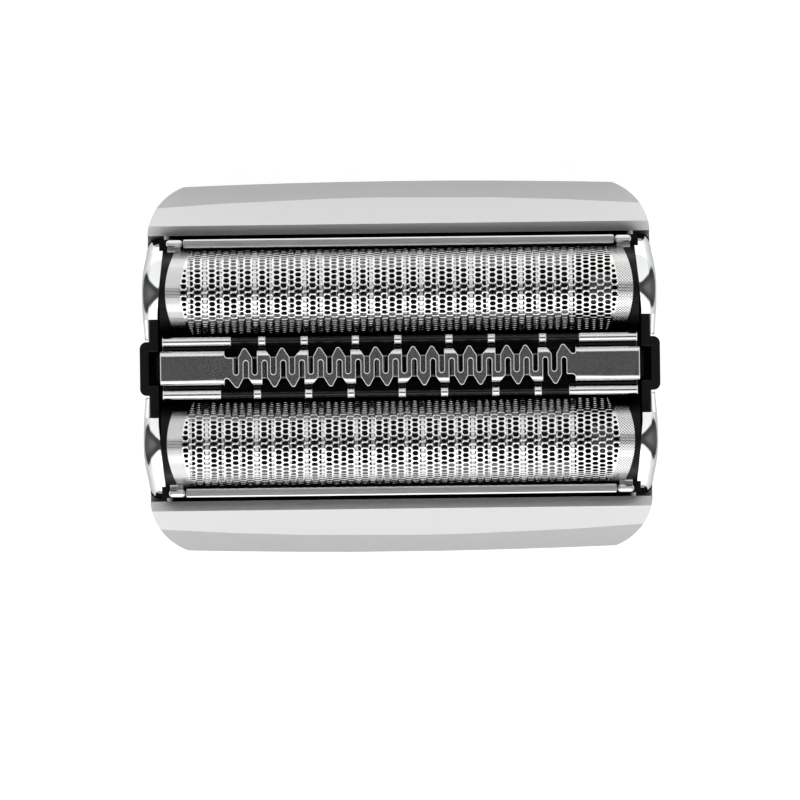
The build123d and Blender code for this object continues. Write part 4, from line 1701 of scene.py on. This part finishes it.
@dataclass
class Strip:
    """The clamp strip along a foil's outer edge, with a clip at each end.

    Attributes:
        edge: how far its edges are rounded.
        clip: a clip's length.
        clip_drop: how far a clip's top lies under the strip's.
        clip_inset: how much narrower than the strip it is on each side.
        clip_edge: how far its edges are rounded.
        clip_lap: how far it runs into the strip.
        tab: the length, the width and the rise of the tab beside a clip.
        tab_lap: how far the tab runs under the clip, and how thick it is.
        tab_lip: how wide the tab's raised lip is.
        lip_edge: how far that lip's edges are rounded.
    """

    edge: float = 0.14
    clip: float = 1.5
    clip_drop: float = 0.1
    clip_inset: float = 0.04
    clip_edge: float = 0.3
    clip_lap: float = 0.05
    tab: tuple[float, float, float] = (1.15, 0.42, 0.35)
    tab_lap: float = 0.1
    tab_lip: float = 0.2
    lip_edge: float = 0.08

    def build(self, side: Side) -> bpy.types.Object:
        """Makes the strip.

        Args:
            side: the unit that it belongs to.

        Returns:
            The finished strip.
        """
        name = f"{side.word}_clamp_strip"
        low, high = (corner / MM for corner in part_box(name))
        length = (low.x + self.clip, high.x - self.clip)
        bar = block(f"{side.word}_strip_bar", length, (low.y, high.y), (low.z, high.z))
        round_edges(bar, self.edge, 3)
        pieces = [bar]
        for end in End:
            pieces += self.clip_pieces(side, end, low, high)
        return complete(join(pieces), f"{side.word}_unit", SATIN_CHROME, name)

    def clip_pieces(self, side: Side, end: End, low: Vector, high: Vector) -> list[bpy.types.Object]:
        """Makes the clip at one end, with its tab.

        Args:
            side: the unit that the strip belongs to.
            end: the end of the strip.
            low: the lowest corner of the strip's solid.
            high: its highest corner.

        Returns:
            The clip, the tab and the tab's lip.
        """
        word = f"{side.word}_{end.word}"
        x = between(end.value * high.x, end.value * (high.x - self.clip + self.clip_lap))
        y = (low.y + self.clip_inset, high.y - self.clip_inset)
        clip = block(f"{word}_clip", x, y, (low.z, high.z - self.clip_drop))
        round_edges(clip, self.clip_edge, 4)
        start = high.x - self.tab_lap
        x = between(end.value * start, end.value * (start - self.tab[0]))
        inner = low.y if side is Side.REAR else high.y
        outer = inner - side.value * self.tab[1]
        y = between(inner + side.value * self.tab_lap, outer)
        plate = block(f"{word}_tab", x, y, (low.z, low.z + self.tab_lap))
        y = between(outer, outer + side.value * self.tab_lip)
        lip = block(f"{word}_lip", x, y, (low.z, low.z + self.tab[2]))
        round_edges(lip, self.lip_edge, 3)
        return [clip, plate, lip]


@dataclass
class FoilUnit:
    """One floating unit: its foil, frame, clamp strip and two end caps.

    Attributes:
        side: which of the two units it is.
        frame_edge: how far the frame's edges are rounded.
    """

    side: Side
    frame_edge: float = 0.06

    def build(self, nodes: dict[str, bpy.types.Object]) -> None:
        """Makes the unit's pieces.

        Args:
            nodes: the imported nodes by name.
        """
        word = self.side.word
        arch = Arch(self.side)
        FoilSheet(arch).build()
        frame = merged_copy(nodes[f"{word}_foil_frame"], f"{word}_frame_moulding")
        round_edges(frame, self.frame_edge, 2, 40.0)
        complete(frame, f"{word}_unit", SATIN_BLACK, f"{word}_foil_frame")
        Strip().build(self.side)
        for end in End:
            Cap(arch, end).build()


@dataclass
class CutterBlock:
    """One row of arched blades and the spine that drives it.

    Attributes:
        side: which foil it runs under.
        pitch: the distance between blades.
        thickness: a blade's thickness.
        depth: how far a blade reaches in from its edge.
        leg: how far a blade's legs reach down below its half circle.
        rail: how high the rails under the blades are.
        rail_edge: how far their edges are rounded.
        steps: how many faces go round a blade's half circle.
    """

    side: Side
    pitch: float = 1.45
    thickness: float = 0.3
    depth: float = 0.95
    leg: float = 0.9
    rail: float = 0.5
    rail_edge: float = 0.06
    steps: int = 40

    def build(self, nodes: dict[str, bpy.types.Object]) -> None:
        """Makes the blades and dresses the spine.

        Args:
            nodes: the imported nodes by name.
        """
        word = self.side.word
        low, high = (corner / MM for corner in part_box(f"{word}_blades"))
        blades = self.blades(low, high)
        complete(blades, f"{word}_cutter", GROUND_STEEL, f"{word}_blades")
        dress(nodes[f"{word}_cutter_spine"], GLOSS_BLACK)

    def blades(self, low: Vector, high: Vector) -> bpy.types.Object:
        """Makes every blade from one half ring, with the two rails that carry them.

        Args:
            low: the lowest corner of the blades' solid.
            high: its highest corner.

        Returns:
            The blades as one piece.
        """
        radius = (high.y - low.y) / 2
        centre = Vector((low.x, (low.y + high.y) / 2, high.z - radius))
        section_y = (centre.y + radius - self.depth, centre.y + radius)
        middle = (low.x + self.thickness / 2, sum(section_y) / 2, centre.z)
        only(None)
        bpy.ops.mesh.primitive_plane_add(size=1, location=middle)
        piece = bpy.context.object
        piece.name = f"{self.side.word}_blade_row"
        piece.scale = (self.thickness, self.depth, 1)
        bpy.ops.object.transform_apply(location=True, scale=True)

        def at_foot(face: bmesh.types.BMFace) -> bool:
            """Says whether a face closes the half ring at one of its feet.

            Args:
                face: a face of the half ring.

            Returns:
                True where a leg grows down from it.
            """
            level = abs(face.calc_center_median().z - centre.z) < 0.001
            return level and abs(face.normal.z) > 0.9

        with editing(piece):
            bpy.ops.mesh.select_all(action="SELECT")
            bpy.ops.mesh.spin(steps=self.steps, angle=math.pi, center=centre, axis=(-1, 0, 0))
        with editing(piece):
            pick_faces(piece, at_foot)
            bpy.ops.mesh.extrude_region_move(TRANSFORM_OT_translate={"value": (0, 0, -self.leg)})
            bpy.ops.mesh.select_all(action="SELECT")
            bpy.ops.mesh.remove_doubles(threshold=0.001)
            bpy.ops.mesh.normals_make_consistent(inside=False)
        row = piece.modifiers.new("row", "ARRAY")
        row.use_relative_offset = False
        row.use_constant_offset = True
        row.constant_offset_displace = (self.pitch, 0, 0)
        row.count = round((high.x - low.x - self.thickness) / self.pitch) + 1
        apply_all(piece)
        pieces = [piece]
        for side in (-1, 1):
            y = between(centre.y + side * radius, centre.y + side * (radius - self.depth))
            rail = block("rail", (low.x, high.x), y, (low.z, low.z + self.rail))
            round_edges(rail, self.rail_edge)
            pieces.append(rail)
        row_of_blades = join(pieces)
        smooth(row_of_blades, 35.0)
        return row_of_blades


@dataclass
class Comb:
    """The lifting comb: one sheet, stamped into a meander and folded over the holder's ridges.

    The outline is drawn on the flat sheet. Its rear edge turned half round is its front edge.

    Attributes:
        sheet: the sheet's thickness.
        rim: the radius of its stamped edges.
        slots: how many slots it has.
        pitch: the distance between slots.
        slot: a slot's width.
        stagger: how far the slots that open to the rear lie left of even spacing.
        slot_end: how far past the middle a slot reaches.
        flat: how far from the middle the folds start.
        fold: the radius of the folds beside the flat top.
        wall: how far from the middle the sheet goes down.
        bead: how far from the middle the bead's two walls stand.
        valley: how far below the top the sheet turns up again.
        bead_drop: how far the bead lies below the top.
        crown: how far the bead's crown turns to each side.
        shoulder: the radius between its crown and its walls.
        apex: where a pointed tip ends: beside its slot, and from the middle.
        leg: the inner and outer side of a folded leg, beside its slot.
        plate: where the plates start, and where their necks end.
        bead_starts: where the beads start along the head, on the rear left and the rear right.
        legs: which of five tips are legs, and the side that each leans to.
        tip_foot: where a pointed tip's left and right side start, from the middle.
        last_foot: the same for the right side of the last tip: beside its slot, and from the middle.
        leg_foot: where the slanted side beside a leg starts, from the middle.
        tip_radius: the radius of a pointed tip.
        nick: how wide and how deep the nick beside a leg is.
        neck_radii: the radii at both ends of the left plate's neck.
        end_corner: the radius of the plates' outer corners.
        notch: how far the plates' folds stop short of their ends.
        radii: the stamped corners' radii: at straight ends, beside the legs, and at the slots.
        fold_steps: how many faces a quarter turn has.
        flat_tilt: how far upwards a face must look to be no rim, and so to go without the rims' painted
            highlight.
    """

    sheet: float = 0.15
    rim: float = 0.07
    slots: int = 36
    pitch: float = 0.816
    slot: float = 0.41
    stagger: float = 0.025
    slot_end: float = 0.6
    flat: float = 1.0
    fold: float = 0.425
    wall: float = 1.425
    bead: tuple[float, float] = (1.995, 2.625)
    valley: float = 1.6
    bead_drop: float = 0.6
    crown: float = math.radians(52)
    shoulder: float = 0.09
    apex: tuple[float, float] = (-0.12, 1.94)
    leg: tuple[float, float] = (0.1, -0.53)
    plate: tuple[float, float] = (15.3, 0.88)
    bead_starts: tuple[float, float] = (14.72, 15.63)
    legs: tuple[tuple[int, int], ...] = ((1, -1), (3, 1))
    tip_foot: tuple[float, float] = (0.92, 0.86)
    last_foot: tuple[float, float] = (0.12, 0.94)
    leg_foot: float = 0.88
    tip_radius: float = 0.22
    nick: tuple[float, float] = (0.03, 0.12)
    neck_radii: tuple[float, float] = (0.3, 0.12)
    end_corner: float = 0.25
    notch: float = 0.2
    radii: tuple[float, float, float] = (0.05, 0.1, 0.2)
    fold_steps: int = 6
    flat_tilt: float = 0.99

    def build(self) -> bpy.types.Object:
        """Makes the comb.

        Returns:
            The finished comb.
        """
        low, high = (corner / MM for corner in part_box("lifting_comb"))
        self.top = high.z
        self.half_length = high.x
        self.bends = self.list_bends(high.z - low.z)
        self.reach = sum(length for length, _ in self.bends)
        rear = self.rear_edge()
        front = [(-x, -y, radius) for x, y, radius in rear]
        outline = rounded(rear + front)
        outline.reverse()
        comb = cut_sheet("folded_comb", outline, self.sheet, self.rim)
        # Faces that don't look straight up or down take the rim finish, a painted highlight.
        for face in comb.data.polygons:
            face.material_index = int(abs(face.normal.z) < self.flat_tilt)
        score(comb, [side * place for side in (-1, 1) for place in self.fold_places()])
        place_points(comb, self.folded)
        smooth(comb, 38.0, flats=True)
        complete(comb, "trimmer", COMB_STEEL, "lifting_comb")
        comb.data.materials.append(LIT_COMB_RIM.material())
        return comb

    def list_bends(self, height: float) -> list[tuple[float, float]]:
        """Lists the runs of the fold from the middle outwards.

        Args:
            height: how high the comb stands.

        Returns:
            Each run's length and the angle that the sheet turns through in it.
        """
        half = self.sheet / 2
        valley_radius = (self.bead[0] - self.wall) / 2
        down = self.valley - half - self.fold - valley_radius
        shoulder = QUARTER - self.crown
        width = self.bead[1] - self.bead[0] - 2 * self.shoulder * (1 - math.sin(self.crown))
        crown_radius = width / 2 / math.sin(self.crown)
        rise = crown_radius * (1 - math.cos(self.crown)) + self.shoulder * math.cos(self.crown)
        up = self.valley - self.bead_drop - half - valley_radius - rise
        foot = height - self.bead_drop - half - rise
        return [
            (self.flat, 0.0),
            (self.fold * QUARTER, QUARTER),
            (down, 0.0),
            (valley_radius * math.pi, -math.pi),
            (up, 0.0),
            (self.shoulder * shoulder, shoulder),
            (crown_radius * 2 * self.crown, 2 * self.crown),
            (self.shoulder * shoulder, shoulder),
            (foot, 0.0),
        ]

    def fold_places(self) -> list[float]:
        """Lists the lines across the flat sheet at which it bends.

        Returns:
            Their distances from the middle.
        """
        places = []
        start = 0.0
        for length, turn in self.bends[:-1]:
            parts = max(1, round(abs(turn) / QUARTER * self.fold_steps))
            places += [start + length * part / parts for part in range(1, parts + 1)]
            start += length
        return places

    def folded(self, place: Vector) -> Vector:
        """Gives where a point of the flat sheet lies once it is folded.

        Args:
            place: the point, with its height measured from the middle of the sheet.

        Returns:
            The point in the head's own frame.
        """
        side = math.copysign(1, place.y)
        run = abs(place.y)
        if self.in_tip(place.x * side, run):
            return Vector((place.x, place.y, self.top - self.sheet / 2 + place.z))
        out, down, heading = 0.0, self.sheet / 2, 0.0
        for length, turn in self.bends:
            step = min(length, run)
            run -= step
            if turn and step:
                radius = length / turn
                ahead = heading + turn * step / length
                out += radius * (math.sin(ahead) - math.sin(heading))
                down -= radius * (math.cos(ahead) - math.cos(heading))
                heading = ahead
            else:
                out += step * math.cos(heading)
                down += step * math.sin(heading)
        out += place.z * math.sin(heading)
        down -= place.z * math.cos(heading)
        return Vector((place.x, side * out, self.top - down))

    def in_tip(self, x: float, run: float) -> bool:
        """Says whether a point belongs to a tip that stays flat.

        Args:
            x: its place along the head, as on the rear side.
            run: its distance from the middle of the flat sheet.

        Returns:
            True where the sheet isn't folded.
        """
        if run < self.flat or run > self.apex[1] or abs(x) > self.plate[0] - self.radii[0]:
            return False
        index = round((x / self.pitch + self.slots / 2 - 1.5) / 2)
        return not self.lean(index)

    def lean(self, index: int) -> int:
        """Gives -1 or 1 for a tip that is folded down into a leg, and 0 for a pointed one."""
        return dict(self.legs).get(index % 5, 0)

    def slot_x(self, index: int) -> float:
        """Gives where a slot's middle lies along the head."""
        side = -1 if index % 2 == 0 else 1
        return (index - (self.slots - 1) / 2) * self.pitch + side * self.stagger

    def rear_edge(self) -> list[Corner]:
        """Draws the sheet's rear edge from its left end to its right end.

        Returns:
            The corners, with their radii.
        """
        start, neck = self.plate
        end = self.half_length
        fold_end = self.flat + self.fold * QUARTER
        step = sum(length for length, _ in self.bends[:3]) + self.bends[3][0] / 2
        half = self.slot / 2
        crisp, soft, wide = self.radii
        corner = self.end_corner
        folds = end - self.notch
        corners = [
            (-end, fold_end - corner, corner),
            (-folds, fold_end + crisp, soft),
            (-folds, self.reach, crisp),
            (-self.bead_starts[0], self.reach, crisp),
            (-self.bead_starts[0], step, crisp),
            (-start, step, crisp),
            (-start, neck, self.neck_radii[0]),
            (self.slot_x(0) - half, neck, self.neck_radii[1]),
        ]
        for index in range(self.slots // 2):
            left = self.slot_x(2 * index) + half
            right = self.slot_x(2 * index + 2) - half
            corners += [
                (left - self.slot, -self.slot_end, wide),
                (left, -self.slot_end, wide),
            ]
            corners += self.tip(index, left, self.slot_x(2 * index + 1), right)
        corners += [
            (start, self.last_foot[1], wide),
            (start, step, crisp),
            (self.bead_starts[1], step, crisp),
            (self.bead_starts[1], self.reach, crisp),
            (folds, self.reach, crisp),
            (folds, fold_end + crisp, soft),
            (end, fold_end - corner, corner),
        ]
        return corners

    def tip(self, index: int, left: float, middle: float, right: float) -> list[Corner]:
        """Draws the outline over one slot: a pointed tip, or a shoulder with its leg.

        Args:
            index: which tip it is.
            left: the ribbon's left side.
            middle: the slot's middle.
            right: the ribbon's right side.

        Returns:
            The corners, with their radii.
        """
        lean = self.lean(index)
        fold_end = self.flat + self.fold * QUARTER
        crisp, soft, wide = self.radii
        if not lean:
            foot = (right, self.tip_foot[1], wide)
            if index == self.slots // 2 - 1:
                foot = (right + self.last_foot[0], self.last_foot[1], wide)
            point = (middle + self.apex[0], self.apex[1], self.tip_radius)
            return [(left, self.tip_foot[0], wide), point, foot]
        inner, outer = self.leg
        nick, nick_depth = self.nick
        straight, slanted = (left, right) if lean < 0 else (right, left)
        mirror = -lean
        corners = [
            (straight, fold_end - nick, 2 * nick),
            (middle + mirror * outer, fold_end + soft, soft),
            (middle + mirror * outer, self.reach, crisp),
            (middle + mirror * inner, self.reach, crisp),
            (middle + mirror * inner, fold_end + soft, soft),
            (middle + mirror * (inner + nick), fold_end - nick_depth, soft),
            (slanted, self.leg_foot, wide),
        ]
        return corners if lean < 0 else corners[::-1]


@dataclass
class Trimmer:
    """The lifting comb with its holder, moving blade and drive block.

    Attributes:
        holder_edge: how far the holder's edges are rounded.
        tooth: a tooth's length along the blade.
        tooth_pitch: the distance between teeth.
        tooth_drop: how deep the gaps between teeth are.
        shoulder: the rounding along both sides of the teeth.
        sheet: the blade's thickness.
        wall_edge: how far the edges of its side walls are rounded.
        wall_lap: how far these reach up into the teeth.
    """

    holder_edge: float = 0.08
    tooth: float = 0.75
    tooth_pitch: float = 1.3
    tooth_drop: float = 1.45
    shoulder: float = 0.1
    sheet: float = 0.15
    wall_edge: float = 0.03
    wall_lap: float = 0.02

    def build(self, nodes: dict[str, bpy.types.Object]) -> None:
        """Makes the trimmer's pieces.

        Args:
            nodes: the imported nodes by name.
        """
        Comb().build()
        holder = merged_copy(nodes["trimmer_holder"], "holder_moulding")
        round_edges(holder, self.holder_edge, 2, 40.0)
        complete(holder, "trimmer", GLOSS_BLACK, "trimmer_holder")
        # The moving blade takes the darker copy of the steel, as painted shade.
        complete(self.blade(), "trimmer_cutter", SHADED_TOOTH_STEEL, "trimmer_blade")
        dress(nodes["trimmer_drive"], SATIN_BLACK)

    def blade(self) -> bpy.types.Object:
        """Makes the moving blade: a channel with its open side down, and teeth along its top.

        Returns:
            The blade.
        """
        low, high = (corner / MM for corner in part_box("trimmer_blade"))
        count = int((high.x - low.x - self.tooth) / self.tooth_pitch) + 1
        start = (low.x + high.x - (count - 1) * self.tooth_pitch - self.tooth) / 2
        root = high.z - self.tooth_drop
        tooth = block("tooth", (start, start + self.tooth), (low.y, high.y), (root, high.z))

        def at_shoulder(edge: bmesh.types.BMEdge) -> bool:
            """Says whether an edge runs along a side of the tooth's top.

            Args:
                edge: an edge of the tooth.

            Returns:
                True where it is rounded.
            """
            first, last = (point.co for point in edge.verts)
            on_top = min(first.z, last.z) > high.z - 0.01
            return on_top and abs(first.x - last.x) > 0.1

        with editing(tooth):
            pick_faces(tooth, lambda face: face.normal.z < -0.5)
            bpy.ops.mesh.delete(type="FACE")
            pick_edges(tooth, at_shoulder)
            bpy.ops.mesh.bevel(offset=self.shoulder, segments=4)
        row = tooth.modifiers.new("row", "ARRAY")
        row.use_relative_offset = False
        row.use_constant_offset = True
        row.constant_offset_displace = (self.tooth_pitch, 0, 0)
        row.count = count
        apply_all(tooth)
        smooth(tooth, 40.0, flats=True)
        pieces = [tooth]
        for side in (-1, 1):
            y = between(side * high.y, side * (high.y - self.sheet))
            wall = block("wall", (low.x, high.x), y, (low.z, root + self.wall_lap))
            round_edges(wall, self.wall_edge)
            pieces.append(wall)
        blade = join(pieces)
        blade.name = "toothed_blade"
        return blade


# Studio


@dataclass
class Studio:
    """The floor, the soft light and the camera straight above.

    Attributes:
        pixels_per_mm: the photograph's scale at the camera's target height.
        picture: the picture's width in pixels.
        sensor: the camera's sensor width.
        distance: how far the camera stands above its target.
        target_z: the height that the scale holds for.
        turn: how far the head is turned in the picture, in degrees.
        drop: how far the picture's centre lies in front of the head's centre.
        light: the brightness of the two wide soft lights at the front and the rear.
        gap: how far the dark gap between them reaches, overhead and at the horizon.
        dark: the brightness of the gap, overhead and towards its ends.
        floor_size: the floor's size in metres.
        floor_drop: how far below the head it lies, in metres.
        floor_tones: how pale it is under the head and around it.
        floor_glow: how bright the floor is by itself.
        shadow: half the size of the painted shadow under the head, along and across it.
        shadow_blur: half the width of its soft edge.
        gap_blur: half the width of the gap's soft edge.
        flare: how much the gap's bright ends widen towards the front and the rear.
        ends: where, along the head, the gap starts and ends to brighten.
        lean: how much brighter the front is than the rear.
        softbox_size: the size of the light in front of the head.
        softbox_place: where it hangs.
        softbox_power: how strong it is.
    """

    pixels_per_mm: float = 11.45
    picture: int = 800
    sensor: float = 36.0
    distance: float = 2500.0
    target_z: float = 15.0
    turn: float = 0.7
    drop: float = 2.97
    light: float = 1.15
    gap: tuple[float, float] = (0.27, 0.5)
    dark: tuple[float, float] = (0.06, 0.17)
    floor_size: float = 4.0
    floor_drop: float = 0.00002
    floor_tones: tuple[float, float] = (0.01, 0.9)
    floor_glow: float = 0.6
    shadow: tuple[float, float] = (20.5, 13.5)
    shadow_blur: float = 0.5
    gap_blur: float = 0.05
    flare: float = 1.2
    ends: tuple[float, float] = (0.45, 0.9)
    lean: float = 0.12
    softbox_size: tuple[float, float] = (0.9, 0.5)
    softbox_place: tuple[float, float, float] = (0.05, -0.8, 0.7)
    softbox_power: float = 1.5

    def build(self) -> None:
        """Makes the floor, light and camera."""
        self.floor()
        self.sky()
        self.softbox()
        self.camera()

    def camera(self) -> None:
        """Puts a long lens straight above the head."""
        data = bpy.data.cameras.new("camera")
        data.sensor_width = self.sensor
        data.lens = self.pixels_per_mm * self.sensor * self.distance / self.picture
        data.clip_start = 0.1
        data.clip_end = 20.0
        camera = bpy.data.objects.new("camera", data)
        bpy.context.scene.collection.objects.link(camera)
        angle = -math.radians(self.turn)
        shift = Matrix.Rotation(angle, 4, "Z") @ Vector((0, -self.drop, 0))
        camera.location = Vector((shift.x, shift.y, self.target_z + self.distance)) * MM
        camera.rotation_euler = (0, 0, angle)
        bpy.context.scene.camera = camera

    def floor(self) -> None:
        """Lays a pale floor under the head, with a painted shadow where the head shuts the light out.
        """
        only(None)
        bpy.ops.mesh.primitive_plane_add(size=self.floor_size, location=(0, 0, -self.floor_drop))
        floor = bpy.context.object
        floor.name = "floor"
        material = bpy.data.materials.new("pale_floor")
        material.use_nodes = True
        shader = material.node_tree.nodes["Principled BSDF"]
        shader.inputs["Roughness"].default_value = 0.9
        shader.inputs["Emission Color"].default_value = (1, 1, 1, 1)
        nodes = Nodes(material.node_tree)
        # Painted shadow: inside the head's footprint the floor is dark and doesn't glow.
        axes = nodes.axes("Object")
        sides = []
        for axis, half in zip("XY", self.shadow):
            off = nodes.math("ABSOLUTE", axes[axis])
            start, end = half - self.shadow_blur, half + self.shadow_blur
            sides.append(nodes.span(off, start * MM, end * MM, 0.0, 1.0))
        clear = nodes.math("MAXIMUM", *sides)
        dark, pale = ((tone, tone, tone, 1) for tone in self.floor_tones)
        tone = nodes.mix(clear, dark, pale)
        nodes.join(tone, shader.inputs["Base Color"])
        nodes.join(nodes.math("MULTIPLY", clear, self.floor_glow), shader.inputs["Emission Strength"])
        floor.data.materials.append(material)

    def sky(self) -> None:
        """Lights the head from the front and the rear, with a dark gap overhead and at the ends."""
        world = bpy.data.worlds.new("soft_studio")
        world.use_nodes = True
        bpy.context.scene.world = world
        nodes = Nodes(world.node_tree)
        background = world.node_tree.nodes["Background"]
        axes = nodes.axes("Generated")
        height = {"Value": axes["Z"], "From Min": 1.0, "From Max": 0.0}
        widths = {"To Min": self.gap[0], "To Max": self.gap[1]}
        edge = nodes.add("ShaderNodeMapRange", {**height, **widths}).outputs[0]
        across = nodes.math("ABSOLUTE", axes["Y"])
        inner = nodes.math("SUBTRACT", edge, self.gap_blur)
        outer = nodes.math("ADD", edge, self.gap_blur)
        lit = nodes.span(across, inner, outer, 0.0, 1.0)
        along = nodes.math("MULTIPLY_ADD", across, -self.flare, nodes.math("ABSOLUTE", axes["X"]))
        dark = nodes.span(along, *self.ends, *self.dark)
        levels = {0: lit, 2: dark, 3: self.light}
        level = nodes.add("ShaderNodeMix", levels, data_type="FLOAT").outputs[0]
        lean = nodes.math("MULTIPLY_ADD", axes["Y"], -self.lean, 1.0)
        nodes.join(nodes.math("MULTIPLY", level, lean), background.inputs["Strength"])
        background.inputs["Color"].default_value = (1, 1, 1, 1)

    def softbox(self) -> None:
        """Adds one large soft light in front of the head."""
        data = bpy.data.lights.new("softbox", "AREA")
        data.shape = "RECTANGLE"
        data.size, data.size_y = self.softbox_size
        data.energy = self.softbox_power
        light = bpy.data.objects.new("softbox", data)
        bpy.context.scene.collection.objects.link(light)
        light.location = self.softbox_place
        light.rotation_euler = (-light.location).to_track_quat("-Z", "Y").to_euler()


def main() -> None:
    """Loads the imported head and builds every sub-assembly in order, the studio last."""
    logging.basicConfig(level=logging.INFO, format="%(name)s: %(message)s")
    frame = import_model()
    bpy.context.scene.view_settings.view_transform = "Standard"
    nodes = frame["nodes"]
    Base().build(nodes)
    for side in Side:
        FoilUnit(side).build(nodes)
        CutterBlock(side).build(nodes)
    Trimmer().build(nodes)
    Studio().build()


if __name__ == "__main__":
    main()
